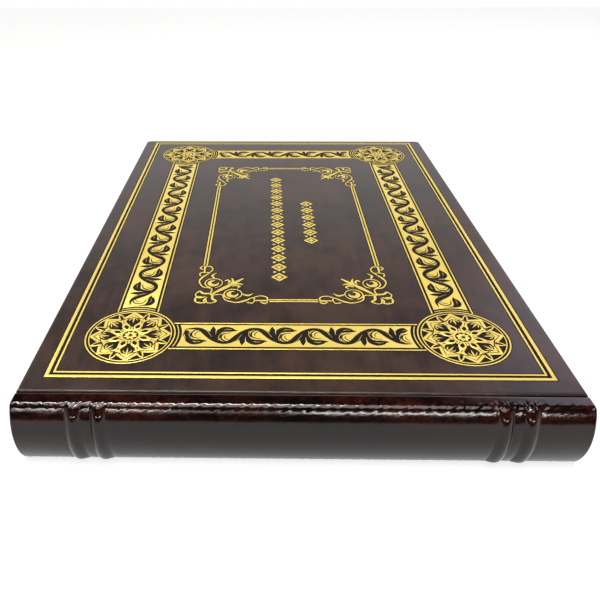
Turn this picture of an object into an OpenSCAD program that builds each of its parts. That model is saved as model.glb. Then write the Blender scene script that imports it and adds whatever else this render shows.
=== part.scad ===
// Full-leather album in landscape format: two board covers, a backed block of pages
// and a spine with raised bands, tooled in gilt on the front cover.
// X runs along the spine, +Y points from the spine to the fore edge, and +Z is up.

/* [Covers] */
// Length of the covers along the spine
cover_h = 215; // [190:1:260]
// Width of a cover from the joint to the fore edge
cover_w = 294.8; // [270:0.2:340]
// Thickness of the cover boards
board_t = 2.4; // [1.6:0.1:4]
// Thickness of the cover leather
leather_t = 0.9; // [0.7:0.05:1.3]
// Radius of the covers' outer corners
corner_r = 3.5; // [2:0.5:8]
// Rounding of the covers' outer edges
edge_r = 0.8; // [0.4:0.1:1.2]
// Width of the leather turned in round the boards
turn_in_w = 16; // [10:1:22]
// Thickness of the pared leather that is turned in
turn_in_t = 0.6; // [0.3:0.05:0.8]
// Gap between a cover and the spine, in which the joint bends
joint_gap = 0.9; // [0.6:0.1:1.6]

/* [Pages] */
// Thickness of the block of pages
pages_t = 20.5; // [16:0.5:40]
// How far the covers stand out past the pages
square_w = 4; // [2:0.5:7]
// Thickness of each endpaper
endpaper_t = 0.2; // [0.1:0.05:0.3]
// Clearance between each cover and the flyleaf under it
cover_clear = 0.3; // [0.2:0.05:0.6]
// Diameter of the headbands
headband_d = 2.2; // [1.6:0.1:3]

/* [Spine] */
// Width of the flat strip of spine leather beside each joint
strip_w = 4.5; // [3:0.1:7]
// How far the strip lies below the cover's face
strip_drop = 0.1; // [0.1:0.05:0.5]
// How far the round of the spine swells over the book's thickness
spine_rise = 4.75; // [3:0.05:7]
// Inside radius of the spine's shoulders
shoulder_in_r = 1.1; // [0.9:0.1:2]
// Thickness of the spine stiffener
stiffener_t = 1.0; // [0.6:0.1:1.4]
// Thickness of the cloth lining on the backs of the pages
lining_t = 0.3; // [0.2:0.05:0.5]

/* [Raised bands] */
// Height of a raised band
band_h = 1.4; // [0.8:0.1:2.5]
// Width of a raised band
band_w = 4.6; // [3:0.1:6]
// Distance between the two bands of a pair
band_pitch = 9.5; // [8:0.1:14]
// Distance from the end of the spine to the nearest band
band_inset = 23.2; // [14:0.1:30]

/* [Gilt borders] */
// Thickness of the gilding
gilt_t = 0.1; // [0.05:0.01:0.2]
// Margin outside the gilt frame at head and tail
gilt_side = 8.1; // [4:0.1:14]
// Margin outside the gilt frame at the fore edge
gilt_fore = 4; // [3:0.1:12]
// Margin outside the gilt frame at the joint
gilt_joint = 6.4; // [4:0.1:14]
// Width of the outer fillet
fillet_w = 2.1; // [1:0.1:3]
// Gap between the outer fillet and the hairline inside it
fillet_gap = 0.9; // [0.5:0.1:1.6]
// Width of the hairline
hairline_w = 1.1; // [0.5:0.1:1.6]
// Distance from the gilt frame to the inner frame at head and tail
inner_side = 54.4; // [50:0.1:58]
// Distance from the gilt frame to the inner frame at the joint and the fore edge
inner_end = 55.7; // [52:0.1:60]
// Half length of the inner frame's plain lines at the joint and the fore edge
plain_half = 10.8; // [8:0.1:16]
// Width of each of the two lines of the inner frame
inner_line_w = 0.8; // [0.4:0.1:1.2]
// Gap between the two lines of the inner frame
inner_line_gap = 0.8; // [0.4:0.1:1.2]

/* [Gilt roundels] */
// Outer radius of a roundel
rose_r = 19.2; // [17:0.1:20]
// Distance from the frame's side to a roundel's centre
rose_side = 28.6; // [27:0.1:31]
// Distance from the frame's joint side to a roundel's centre
rose_joint = 29.2; // [27:0.1:31]
// Distance from the frame's fore side to a roundel's centre
rose_fore = 27.4; // [26:0.1:31]
// Turn of the pattern in each roundel
rose_turn = 4; // [0:1:22]
// Number of points of the star
rose_points = 8; // [6:1:10]
// Width of the straps that outline the star
strap_w = 1.3; // [0.8:0.1:1.8]

/* [Gilt bands] */
// Width of the solid gilt field of a band
field_w = 15.3; // [12:0.1:16]
// Distance from the middle of a band to its outer hairlines
band_line_at = 9; // [8.6:0.1:9.6]
// Distance from a roundel's centre to the end of the field
field_end_r = 21.9; // [21:0.1:24]
// Length of one wave of the scroll
wave_l = 25.6; // [20:0.1:32]
// Swing of the scroll's stem each way
wave_a = 4.6; // [3.5:0.1:5]
// Width of the stem where it is thinnest
stem_w = 1.3; // [0.8:0.1:1.8]

/* [Gilt title panel] */
// Space between the long row of lozenges and each end of the inner frame
row_margin = 17.5; // [10:0.5:30]
// How much shorter the short row is
row_step = 79; // [50:1:100]
// Distance of each row from the middle of the cover, to the left and to the right
row_left = 6.3; // [5:0.1:9]
row_right = 11.9; // [8:0.1:14]
// Width of a row
row_w = 8.3; // [6:0.1:9]
// Pitch of the lozenges along a row
row_pitch = 9.8; // [9:0.1:14]

/* [Hidden] */

// Heights, from the table up
cover_t = leather_t + board_t + endpaper_t;
block_t = pages_t + 2 * endpaper_t;
book_t = block_t + 2 * (cover_clear + cover_t);
mid_z = book_t / 2;

// The round of the spine, as a section in Y and Z about the middle of the thickness
shoulder_r = shoulder_in_r + leather_t + stiffener_t;
strip_z = mid_z - strip_drop;
round_r = (strip_z * strip_z + spine_rise * spine_rise) / (2 * spine_rise);
shoulder_z = strip_z - shoulder_r;
shoulder_reach = round_r - sqrt(pow(round_r - shoulder_r, 2) - pow(shoulder_z, 2));
shoulder_angle = 180 - asin(shoulder_z / (round_r - shoulder_r));

// Depths along Y, with the whole book centred on the origin
spine_depth = shoulder_reach + strip_w;
book_depth = band_h + spine_depth + joint_gap + cover_w;
spine_y = band_h - book_depth / 2;
strip_y = spine_y + spine_depth;
panel_y = strip_y + joint_gap;
fore_y = panel_y + cover_w;
shoulder_y = spine_y + shoulder_reach;
round_y = spine_y + round_r;
page_h = cover_h - 2 * square_w;
page_y = fore_y - square_w;
page_r = round_r - leather_t - stiffener_t - lining_t;

// The raised bands, their soft flanks and their places along the spine
flank_w = 1.1;
band_half = band_w / 2;
band_x = [
    band_inset - cover_h / 2,
    band_inset + band_pitch - cover_h / 2,
    cover_h / 2 - band_inset - band_pitch,
    cover_h / 2 - band_inset
];
spine_turn_in = 12;
turn_in_step = 0.2;
lining_inset = 8;

// Steps that a curve is divided into
shoulder_steps = 5;
round_steps = 12;
corner_steps = 6;
curve_steps = 3;

// Share of a band's height at the end of the shoulder, and steps of the round until it is full
band_foot = 0.3;
band_run = 2;

// The gilt frame, its centre and what is placed in it
frame_x = cover_h / 2 - gilt_side;
frame_y = (cover_w - gilt_fore - gilt_joint) / 2;
frame_cy = panel_y + gilt_joint + frame_y;
rose_x = frame_x - rose_side;
rose_front_y = rose_joint - frame_y;
rose_back_y = frame_y - rose_fore;
line_w = 0.8;
hair_gap = 0.7;
thin_w = 0.45;

// The inner frame, the room left between its lines and the flourishes, and their size
inner_x = frame_x - inner_side;
inner_y = frame_y - inner_end;
line_clear = 1;
corner_out = 1.4;
corner_reach = inner_x + corner_out - plain_half - line_clear;

// The star in a roundel: its tips, the distance of its straps from the middle and its groove
rose_step = 360 / rose_points;
tip_r = rose_r - line_w - hair_gap;
strap_at = (tip_r - thin_w / 2) * cos(rose_step);
groove_w = 0.35;

// Points on an arc about c, from angle a0 to a1
function arc(c, r, a0, a1, n) =
    [for (i = [0:n]) let (a = a0 + (a1 - a0) * i / n) c + r * [cos(a), sin(a)]];

// One point of a smooth curve through a, b, c and d, at t between b and c
function curve_at(a, b, c, d, t) =
    0.5 * (2 * b + (c - a) * t + (2 * a - 5 * b + 4 * c - d) * t * t
    + (3 * b - a - 3 * c + d) * t * t * t);

// A smooth curve through the points of p, with n steps between each two
function curve(p, n) =
    let (last = len(p) - 1)
    concat(
        [for (i = [0:last - 1], k = [0:n - 1])
            curve_at(p[max(i - 1, 0)], p[i], p[i + 1], p[min(i + 2, last)], k / n)],
        [p[last]]
    );

// Direction of a path at its point i
function heading(p, i) =
    let (a = p[max(i - 1, 0)], b = p[min(i + 1, len(p) - 1)], d = [b[0] - a[0], b[1] - a[1]])
    d / norm(d);

// Outline of a stroke along p, whose points are [x, y, width]
function stroke(p) =
    let (side = [for (i = [0:len(p) - 1]) let (h = heading(p, i)) [-h[1], h[0]] * p[i][2] / 2])
    concat(
        [for (i = [0:len(p) - 1]) [p[i][0], p[i][1]] + side[i]],
        [for (i = [len(p) - 1:-1:0]) [p[i][0], p[i][1]] - side[i]]
    );

// The same point with its two places exchanged: a mirror image in the diagonal
function swap(p) = [for (q = p) [q[1], q[0], q[2]]];

module pen(p, n = curve_steps) {
    polygon(stroke(curve(p, n)));
}

module ring(r, w) {
    difference() {
        circle(r, $fn = 90);
        circle(r - w, $fn = 90);
    }
}

// Spine section: place, outward direction and share of a raised band's height at each point
function spine_side(s) = concat(
    [[[strip_y, s * strip_z], [0, s], 0]],
    [for (i = [0:shoulder_steps])
        let (a = 90 + (shoulder_angle - 90) * i / shoulder_steps, d = [cos(a), s * sin(a)])
        [[shoulder_y, s * shoulder_z] + shoulder_r * d, d, band_foot * pow(i / shoulder_steps, 2)]]
);

// Share of its height that a band has i steps along the round
function band_share(i) =
    min(1, band_foot + (1 - band_foot) * min(i, round_steps - i) / band_run);

function reversed(p) = [for (i = [len(p) - 1:-1:0]) p[i]];

spine_section = concat(
    spine_side(1),
    [for (i = [1:round_steps - 1])
        let (a = shoulder_angle + 2 * (180 - shoulder_angle) * i / round_steps, d = [cos(a), sin(a)])
        [[round_y, 0] + round_r * d, d, band_share(i)]],
    reversed(spine_side(-1))
);

// Spine section set in by a depth, as plain points about the middle of the thickness
function spine_inset(depth) = [for (q = spine_section) q[0] - depth * q[1]];

// Height of the leather over the bands at x, from 0 between them to 1 on their tops
function flank(u) = u <= 0 ? 0 : u >= 1 ? 1 : u * u * (3 - 2 * u);
function band_swell(x) =
    max([for (b = band_x) flank((band_half + flank_w / 2 - abs(x - b)) / flank_w)]);

// Places along X where the moulded leather changes height
skin_x = concat(
    [-cover_h / 2, spine_turn_in - cover_h / 2, spine_turn_in + turn_in_step - cover_h / 2],
    [for (b = band_x, s = [-1, 1], k = [-1:0.5:1]) b + s * band_half + k * flank_w / 2],
    [cover_h / 2 - spine_turn_in - turn_in_step, cover_h / 2 - spine_turn_in, cover_h / 2]
);
function skin_depth(x) =
    leather_t + (abs(x) > cover_h / 2 - spine_turn_in - turn_in_step / 2 ? turn_in_t : 0);

// One point of the spine at x, raised by h over its section
function spine_point(x, q, h) =
    [x, q[0][0] + h * q[1][0], mid_z + q[0][1] + h * q[1][1]];

// A sheet with two faces, given as rows of points at the same places
module sheet(upper, lower) {
    rows = len(upper);
    cols = len(upper[0]);
    count = rows * cols;
    points = concat([for (r = upper, p = r) p], [for (r = lower, p = r) p]);
    function at(r, c) = r * cols + c;
    faces = concat(
        [for (r = [0:rows - 2], c = [0:cols - 2]) each [
            [at(r, c), at(r + 1, c), at(r + 1, c + 1)],
            [at(r, c), at(r + 1, c + 1), at(r, c + 1)],
            [count + at(r, c), count + at(r + 1, c + 1), count + at(r + 1, c)],
            [count + at(r, c), count + at(r, c + 1), count + at(r + 1, c + 1)]
        ]],
        [for (c = [0:cols - 2]) each [
            [at(0, c), at(0, c + 1), count + at(0, c + 1)],
            [at(0, c), count + at(0, c + 1), count + at(0, c)],
            [at(rows - 1, c + 1), at(rows - 1, c), count + at(rows - 1, c)],
            [at(rows - 1, c + 1), count + at(rows - 1, c), count + at(rows - 1, c + 1)]
        ]],
        [for (r = [0:rows - 2]) each [
            [at(r + 1, 0), at(r, 0), count + at(r, 0)],
            [at(r + 1, 0), count + at(r, 0), count + at(r + 1, 0)],
            [at(r, cols - 1), at(r + 1, cols - 1), count + at(r + 1, cols - 1)],
            [at(r, cols - 1), count + at(r + 1, cols - 1), count + at(r, cols - 1)]
        ]]
    );
    polyhedron(points, faces);
}

// A section in Y and Z carried along X, centred on the book
module along_spine(length) {
    translate([-length / 2, 0, mid_z]) rotate([90, 0, 90]) linear_extrude(length) children();
}

// Cover plan: square at the joint, rounded at the two outer corners, set in by a depth
function cover_plan(depth) =
    let (x = cover_h / 2 - depth, y = fore_y - depth, r = corner_r - depth)
    concat(
        [[-x, panel_y], [x, panel_y]],
        arc([x - r, y - r], r, 0, 90, corner_steps),
        arc([r - x, y - r], r, 90, 180, corner_steps)
    );

// A slab of the cover plan from z0 to z1, with its outer edges rounded by r
module cover_slab(z0, z1, depth, r) {
    x = cover_h / 2 - depth;
    y = fore_y - depth;
    h = z1 - z0;
    intersection() {
        translate([0, 0, z0]) linear_extrude(h) polygon(cover_plan(depth));
        rotate([90, 0, 90]) translate([0, 0, -x]) linear_extrude(2 * x) polygon(concat(
            [[panel_y, z1], [panel_y, z0]],
            arc([y - r, z0 + r], r, -90, 0, corner_steps),
            arc([y - r, z1 - r], r, 0, 90, corner_steps)
        ));
        translate([0, y, 0]) rotate([90, 0, 0]) linear_extrude(y - panel_y) polygon(concat(
            arc([x - r, z0 + r], r, -90, 0, corner_steps),
            arc([x - r, z1 - r], r, 0, 90, corner_steps),
            arc([r - x, z1 - r], r, 90, 180, corner_steps),
            arc([r - x, z0 + r], r, 180, 270, corner_steps)
        ));
    }
}

// Plain slab of a plan set in by a depth and starting at y0
module inner_slab(z0, z1, depth, y0) {
    x = cover_h / 2 - depth;
    translate([-x, y0, z0]) cube([2 * x, fore_y - depth - y0, z1 - z0]);
}

// Board with a step round three edges, in which the turned-in leather lies
module board() {
    inner = leather_t + board_t;
    translate([0, 0, leather_t]) linear_extrude(board_t - turn_in_t) polygon(cover_plan(leather_t));
    inner_slab(inner - turn_in_t, inner, turn_in_w, panel_y);
}

// Leather over the outside of a board, round three edges and turned in
module cover_leather() {
    inner = leather_t + board_t;
    past = board_t;
    difference() {
        cover_slab(0, inner, 0, edge_r);
        translate([0, 0, leather_t]) linear_extrude(board_t - turn_in_t) polygon(cover_plan(leather_t));
        inner_slab(inner - turn_in_t, inner + past, turn_in_w, panel_y - past);
    }
}

// Paper pasted over the board and the edges of the turned-in leather
module pastedown() {
    inner_slab(leather_t + board_t, cover_t, square_w, panel_y);
}

// The same piece turned over for the front cover
module front() {
    translate([0, 0, book_t]) mirror([0, 0, 1]) children();
}

module back_leather() {
    color("#3a2420") cover_leather();
}

module back_board() {
    color("#8d8577") board();
}

module back_pastedown() {
    color("#e8dfc8") pastedown();
}

module front_leather() {
    color("#3a2a24") front() cover_leather();
}

module front_board() {
    color("#8d8577") front() board();
}

module front_pastedown() {
    color("#e8dfc8") front() pastedown();
}

// Pages: rounded at the spine with shoulders beside the joints, hollow at the fore edge
module page_block() {
    half = pages_t / 2;
    hollow = asin(half / page_r);
    shoulder_foot = strip_y + joint_gap / 2;
    color("#efe6cf") along_spine(page_h) polygon(concat(
        [[shoulder_foot, half]],
        spine_inset(leather_t + stiffener_t + lining_t),
        [[shoulder_foot, -half]],
        arc([page_y + page_r * cos(hollow), 0], page_r, 180 + hollow, 180 - hollow, round_steps)
    ));
}

module flyleaf() {
    x = page_h / 2;
    translate([-x, panel_y, cover_t + cover_clear])
        cube([page_h, page_y - panel_y, endpaper_t]);
}

module back_flyleaf() {
    color("#e8dfc8") flyleaf();
}

module front_flyleaf() {
    color("#e8dfc8") front() flyleaf();
}

// Headband: a worked cord that follows the round of the pages' backs
module headband(side) {
    r = headband_d / 2;
    swing = asin((pages_t / 2 - r) / page_r);
    translate([side * (page_h / 2 + r), round_y, mid_z]) rotate([90, 0, 90]) rotate([0, 0, 180 - swing])
        rotate_extrude(angle = 2 * swing, $fn = 120) translate([page_r - r, 0]) circle(r, $fn = 24);
}

module headband_head() {
    color("#8a1f1c") headband(-1);
}

module headband_tail() {
    color("#8a1f1c") headband(1);
}

// A layer of the spine between two depths below its outside
module spine_layer(outer, inner, length) {
    along_spine(length) polygon(concat(spine_inset(outer), reversed(spine_inset(inner))));
}

module spine_lining() {
    outer = leather_t + stiffener_t;
    color("#d9d2bd") spine_layer(outer, outer + lining_t, page_h - 2 * lining_inset);
}

module spine_stiffener() {
    length = cover_h - 2 * (spine_turn_in + turn_in_step);
    color("#8d8577") spine_layer(leather_t, leather_t + stiffener_t, length);
}

// Spine leather: one skin moulded over the raised bands and turned in at head and tail
module spine_leather() {
    upper = [for (x = skin_x) let (h = band_h * band_swell(x))
        [for (q = spine_section) spine_point(x, q, h * q[2])]];
    lower = [for (x = skin_x) let (h = band_h * band_swell(x))
        [for (q = spine_section) spine_point(x, q, h * q[2] - skin_depth(x))]];
    color("#4a1f1a") sheet(upper, lower);
}

// Core of a raised band, between the stiffener and the leather moulded over it
module band_core(i) {
    edge = band_half + flank_w / 4;
    core_x = [for (k = [-1, 1]) each [band_x[i] + k * edge, band_x[i] + k * (band_half - flank_w / 2)]];
    stations = [core_x[0], core_x[1], core_x[3], core_x[2]];
    section = [for (q = spine_section) if (q[2] >= band_foot) q];
    upper = [for (x = stations) let (h = band_h * band_swell(x))
        [for (q = section) spine_point(x, q, h * q[2] - leather_t)]];
    lower = [for (x = stations) [for (q = section) spine_point(x, q, -leather_t)]];
    color("#6d5138") sheet(upper, lower);
}

// Gilding: a flat shape on the front cover's face, placed from the middle of the gilt frame
module gilt() {
    color("#d8c45c") translate([0, frame_cy, book_t]) linear_extrude(gilt_t) children();
}

// Lines of a rectangle whose outside is 2x by 2y
module rect_line(x, y, w) {
    difference() {
        square([2 * x, 2 * y], center = true);
        square([2 * (x - w), 2 * (y - w)], center = true);
    }
}

module gilt_outer_frame() {
    hair = fillet_w + fillet_gap;
    gilt() {
        rect_line(frame_x, frame_y, fillet_w);
        rect_line(frame_x - hair, frame_y - hair, hairline_w);
    }
}

// A petal outline from radius r0 to r1 along X, with its widest half width w
function petal(r0, r1, w, n) = concat(
    [for (i = [0:n]) let (t = i / n) [r0 + (r1 - r0) * t, w * sin(180 * t)]],
    [for (i = [n - 1:-1:1]) let (t = i / n) [r0 + (r1 - r0) * t, -w * sin(180 * t)]]
);

// Outline of a star whose straps lie at a distance from the middle
function star(distance) =
    [for (i = [0:2 * rose_points - 1])
        let (r = distance / cos(i % 2 == 0 ? rose_step : rose_step / 2), a = i * rose_step / 2)
        r * [cos(a), sin(a)]];

// Dark kite under each tip of the star, with its top, its sides and its foot on the star's axis
kite_top = 0.8 * tip_r;
kite_side = [0.67 * tip_r, 0.15 * tip_r];
kite_foot = 0.42 * tip_r;
kite = [[kite_top, 0], kite_side, [kite_foot, 0], [kite_side[0], -kite_side[1]]];

// Three small leaves that hang from the top of a kite
module trefoil() {
    r = kite_top + thin_w;
    leaf = kite_side[1] / 2;
    pen([[r, 0, line_w], [kite_side[0], 0, leaf], [kite_side[0] - leaf, 0, thin_w]]);
    for (s = [-1, 1])
        pen([[r - leaf, 0, thin_w], [kite_side[0] + thin_w, s * line_w, line_w],
            [kite_side[0] - thin_w, s * leaf, thin_w]]);
}

// Leaf in outline that stands in a notch of the star, short of the inner ring
module notch_leaf() {
    foot = strap_at / cos(rose_step / 2) - hair_gap;
    top = tip_r - thin_w - groove_w;
    half = 0.08 * tip_r;
    difference() {
        polygon(petal(foot, top, half, 7));
        polygon(petal(foot + line_w, top - line_w, half / 2, 5));
    }
}

// The star inside its straps, pierced by kites, by petals round the middle and round its drops
module star_body() {
    drop = [0.5 * tip_r, 0.7 * tip_r];
    drop_half = 0.05 * tip_r;
    eye_r = 0.22 * tip_r;
    difference() {
        polygon(star(strap_at - strap_w - groove_w));
        for (i = [0:rose_points - 1]) rotate(i * rose_step) {
            polygon(kite);
            rotate(rose_step / 2) {
                polygon(petal(1.15 * eye_r, 0.46 * tip_r, drop_half, 5));
                polygon(petal(drop[0] - groove_w, drop[1] + groove_w, drop_half + groove_w, 7));
            }
        }
        circle(eye_r, $fn = 48);
    }
    for (i = [0:rose_points - 1]) rotate(i * rose_step) {
        trefoil();
        rotate(rose_step / 2) polygon(petal(drop[0], drop[1], drop_half, 6));
    }
}

// Floret in the middle of the star
module floret() {
    reach = 0.16 * tip_r;
    for (i = [0:rose_points - 1]) rotate(i * rose_step) polygon(petal(0, reach, reach / 4, 5));
}

// A roundel: double ring, star with leaves in its notches, and a floret
module roundel() {
    ring(rose_r, line_w);
    ring(tip_r, thin_w);
    rotate(rose_turn) {
        difference() {
            polygon(star(strap_at));
            polygon(star(strap_at - strap_w));
        }
        star_body();
        floret();
        for (i = [0:rose_points - 1]) rotate((i + 0.5) * rose_step) notch_leaf();
    }
}

// Roundels are numbered from the front left corner round to the back left
module gilt_roundel(i) {
    x = i == 1 || i == 4 ? -rose_x : rose_x;
    y = i <= 2 ? rose_front_y : rose_back_y;
    gilt() translate([x, y]) roundel();
}

// The scroll: a waving stem that swells as it crosses, with two lobes in the hollow of each wave
module scroll(length) {
    halves = floor(length / wave_l * 2);
    steps = 8;
    start = -halves * wave_l / 4;
    pen([for (i = [0:halves * steps / 2])
        let (a = 360 / steps * i, x = start + i * wave_l / steps)
        [x, wave_a * cos(a), stem_w + 1.5 * pow(sin(a), 2)]], 2);
    for (i = [0:halves]) let (s = i % 2 == 0 ? -1 : 1) translate([start + i * wave_l / 2, 0]) {
        pen([[-3.9, 0.2 * s, 1.2], [-3.8, 3 * s, 2.1], [-3.4, 6.2 * s, 0.8]]);
        pen([[-1.6, 1.5 * s, 0.7], [-0.9, 4.3 * s, 2.2], [1.8, 5 * s, 2.6], [5.2, 3.4 * s, 0.6]]);
        pen([[-3.9, 0.2 * s, 1.2], [-2.6, 0.6 * s, 0.8], [-1.6, 1.5 * s, 0.7]]);
        pen([[-3.6, 0.3 * s, 0.7], [-4, -2.2 * s, 0.6], [-2.6, -4.2 * s, 1]]);
    }
}

// Clear length between the end of the field and the scroll
scroll_margin = 2;

// A band between two roundels, whose centres are span apart, along X
module band(span) {
    ends = rose_r + hair_gap;
    length = span - 2 * (field_end_r + scroll_margin);
    difference() {
        square([span, field_w], center = true);
        for (s = [-1, 1]) translate([s * span / 2, 0]) circle(field_end_r, $fn = 90);
        scroll(length);
    }
    difference() {
        for (s = [-1, 1]) translate([0, s * band_line_at]) square([span, line_w], center = true);
        for (s = [-1, 1]) translate([s * span / 2, 0]) circle(ends, $fn = 90);
    }
    intersection() {
        square([span, field_w], center = true);
        for (s = [-1, 1]) translate([s * span / 2, 0]) ring(ends + 2 * thin_w, thin_w);
    }
}

module gilt_band_front() {
    gilt() translate([0, rose_front_y]) band(2 * rose_x);
}

module gilt_band_back() {
    gilt() translate([0, rose_back_y]) band(2 * rose_x);
}

module side_band(s) {
    middle = (rose_front_y + rose_back_y) / 2;
    gilt() translate([s * rose_x, middle]) rotate(90) band(rose_back_y - rose_front_y);
}

module gilt_band_left() {
    side_band(-1);
}

module gilt_band_right() {
    side_band(1);
}

// The two lines of the inner frame run between the corner flourishes
module gilt_inner_frame() {
    inset = inner_line_w + inner_line_gap;
    half_y = inner_y + corner_out - corner_reach - line_clear;
    gilt() for (d = [0, inset], s = [-1, 1]) {
        translate([s * (inner_x - d - inner_line_w / 2), 0])
            square([inner_line_w, 2 * half_y], center = true);
        translate([0, s * (inner_y - d - inner_line_w / 2)])
            square([2 * plain_half, inner_line_w], center = true);
    }
}

// One half of a corner flourish drawn at drawn_reach, as strokes from its outer corner; the
// other half is swapped
drawn_reach = 34.6;
corner_strokes = [
    [[7.4, 8.4, 1.3], [4, 8.6, 1.3], [2.2, 10.4, 1.3], [0.9, 9.3, 0.8], [0.3, 7.4, 0.8],
        [1.2, 6, 0.8], [3.4, 5.6, 0.9]],
    [[1.1, 5.8, 0.8], [0.4, 3.4, 0.9], [1.1, 1.1, 0.9]],
    [[7.2, 8.6, 0.8], [7.7, 11, 0.8], [7.2, 13.2, 0.8], [3.2, 14.6, 0.9], [1, 19.6, 0.9], [2.4, 23.8, 1.5]],
    [[2.4, 23.8, 1.3], [4.8, 27, 0.8], [6.7, 31, 0.8], [5.5, 34, 0.9], [2.6, 34.6, 0.9]],
    [[1.1, 24.8, 1], [0.7, 27.2, 0.8], [2.4, 28.2, 0.7], [5.2, 28.1, 0.7]],
    [[2.7, 28.4, 0.9], [2.6, 34.6, 1.4]],
    [[1.6, 31, 0.8], [0.3, 32.8, 1], [1.3, 34.6, 0.8]],
    [[8.9, 27.6, 0.5], [7, 25.2, 1.2], [8.2, 22.6, 0.8]],
    [[15.2, 17.2, 0.8], [15.9, 19.2, 1], [14.8, 20.9, 1.1], [13.4, 20, 0.5]],
    [[16.9, 17.6, 1], [17.5, 20, 1.2], [16.8, 22.4, 0.6]]
];

// The coil of a corner flourish: a ring round a crescent, thick on the side towards the corner
coil_at = [8.2, 18];
coil_r = 4.2;
crescent_r = 3;
crescent_hole_r = 2.1;
crescent_shift = 0.55;

// The club on the diagonal, which ends in the middle lobe of a palmette
club = [[7.2, 1], [11.4, 2], [14.6, 2.6], [17, 1.6], [19, 1.6], [22.4, 1.2]];

module coil(size) {
    shift = size * crescent_shift;
    ring(size * coil_r, hair_gap);
    difference() {
        circle(size * crescent_r, $fn = 48);
        translate([shift, shift]) circle(size * crescent_hole_r, $fn = 48);
    }
}

module flourish() {
    size = corner_reach / drawn_reach;
    for (p = corner_strokes) {
        pen(size * p);
        pen(swap(size * p));
    }
    for (at = [coil_at, reversed(coil_at)]) translate(size * at) coil(size);
    pen([for (q = club) size * [q[0], q[0], q[1]]]);
}

module gilt_corner(i) {
    sx = i == 1 || i == 4 ? 1 : -1;
    sy = i <= 2 ? 1 : -1;
    gilt() translate([-sx * (inner_x + corner_out), -sy * (inner_y + corner_out)])
        mirror([sx < 0 ? 1 : 0, 0]) mirror([0, sy < 0 ? 1 : 0]) flourish();
}

// A row of open lozenges with a seed in each and a pair of dots between them
lozenge_reach = 0.8;
lozenge_hole = 0.62;
lozenge_seed = 0.3;
module lozenge_row(length) {
    count = max(1, round(length / row_pitch));
    pitch = length / count;
    half = row_w / 2;
    reach = lozenge_reach * row_pitch / 2;
    dot_r = half / 6;
    outline = [[half, 0], [0, reach], [-half, 0], [0, -reach]];
    for (i = [0:count - 1]) translate([0, (i - (count - 1) / 2) * pitch]) {
        difference() {
            polygon(outline);
            polygon(lozenge_hole * outline);
        }
        polygon(lozenge_seed * outline);
        for (s = [-1, 1]) if (i < count - 1)
            translate([s * (half / 2 + dot_r / 2), pitch / 2]) circle(dot_r, $fn = 24);
    }
}

module gilt_title_panel() {
    row_long = 2 * (inner_y - row_margin);
    gilt() {
        translate([-row_left, 0]) lozenge_row(row_long);
        translate([row_right, 0]) lozenge_row(row_long - row_step);
    }
}

back_leather();
back_board();
back_pastedown();
page_block();
front_flyleaf();
back_flyleaf();
headband_head();
headband_tail();
spine_lining();
spine_stiffener();
spine_leather();
for (i = [0:3]) band_core(i);
front_leather();
front_board();
front_pastedown();
gilt_outer_frame();
gilt_inner_frame();
gilt_title_panel();
for (i = [1:4]) gilt_roundel(i);
gilt_band_front();
gilt_band_back();
gilt_band_left();
gilt_band_right();
for (i = [1:4]) gilt_corner(i);
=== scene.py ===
"""Dresses a full-leather album with raised bands, pages, headbands and gilt tooling.

Lengths inside the functions are in millimetres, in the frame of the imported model: X runs along
the spine, Y from the spine to the fore edge, and Z up. They become metres where a mesh is made.
"""

import math

import bpy
import numpy as np
from mathutils import Matrix, Vector


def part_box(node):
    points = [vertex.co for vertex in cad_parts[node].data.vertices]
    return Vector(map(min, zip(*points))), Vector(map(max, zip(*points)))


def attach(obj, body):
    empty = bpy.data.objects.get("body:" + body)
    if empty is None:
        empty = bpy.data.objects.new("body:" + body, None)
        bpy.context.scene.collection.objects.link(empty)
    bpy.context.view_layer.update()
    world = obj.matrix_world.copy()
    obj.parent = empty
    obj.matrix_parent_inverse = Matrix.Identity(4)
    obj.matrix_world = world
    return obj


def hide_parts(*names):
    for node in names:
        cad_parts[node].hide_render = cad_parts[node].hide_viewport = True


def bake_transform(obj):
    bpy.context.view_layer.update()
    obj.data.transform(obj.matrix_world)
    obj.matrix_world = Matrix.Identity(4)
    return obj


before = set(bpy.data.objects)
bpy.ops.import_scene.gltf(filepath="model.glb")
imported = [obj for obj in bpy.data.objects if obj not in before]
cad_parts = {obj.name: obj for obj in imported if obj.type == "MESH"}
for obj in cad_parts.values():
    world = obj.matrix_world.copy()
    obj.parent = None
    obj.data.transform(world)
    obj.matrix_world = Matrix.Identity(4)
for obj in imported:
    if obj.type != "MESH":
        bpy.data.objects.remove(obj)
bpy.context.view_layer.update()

bl_info = {
    "name": "Leather Album",
    "version": (1, 0, 0),
    "blender": (4, 5, 0),
    "location": "3D View > Sidebar > Album",
    "description": "Leather, paper, silk and gilding for an album bound with raised bands",
    "category": "Object",
}

MM = 0.001
SEED = 11
SPINE = "text_block"
FRONT = "front_cover"
BACK = "back_cover"


def corners(node):
    """Lowest and highest corner of a node, in millimetres."""
    low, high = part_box(node)
    return np.array(low) / MM, np.array(high) / MM


def centre(node):
    """Middle of a node's box in plan."""
    low, high = corners(node)
    return (low + high)[:2] / 2


def half_size(node):
    """Half of a node's size in plan."""
    low, high = corners(node)
    return (high - low)[:2] / 2


(_, PANEL_Y, INNER_Z), (COVER_X, FORE_Y, FACE_Z) = corners("front_leather")
_, STRIP_Y, STRIP_Z = corners("spine_leather")[1]
MIDDLE_Z = FACE_Z / 2
FRAME_CENTRE = centre("gilt_outer_frame")
BANDS = [f"band_core_{i}" for i in range(1, 5)]


# Sizes and colours that a user would change

def length(name, description, default):
    """A length property whose default is given in millimetres."""
    return bpy.props.FloatProperty(
        name=name, description=description, default=default * MM, unit="LENGTH", precision=5)


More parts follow.
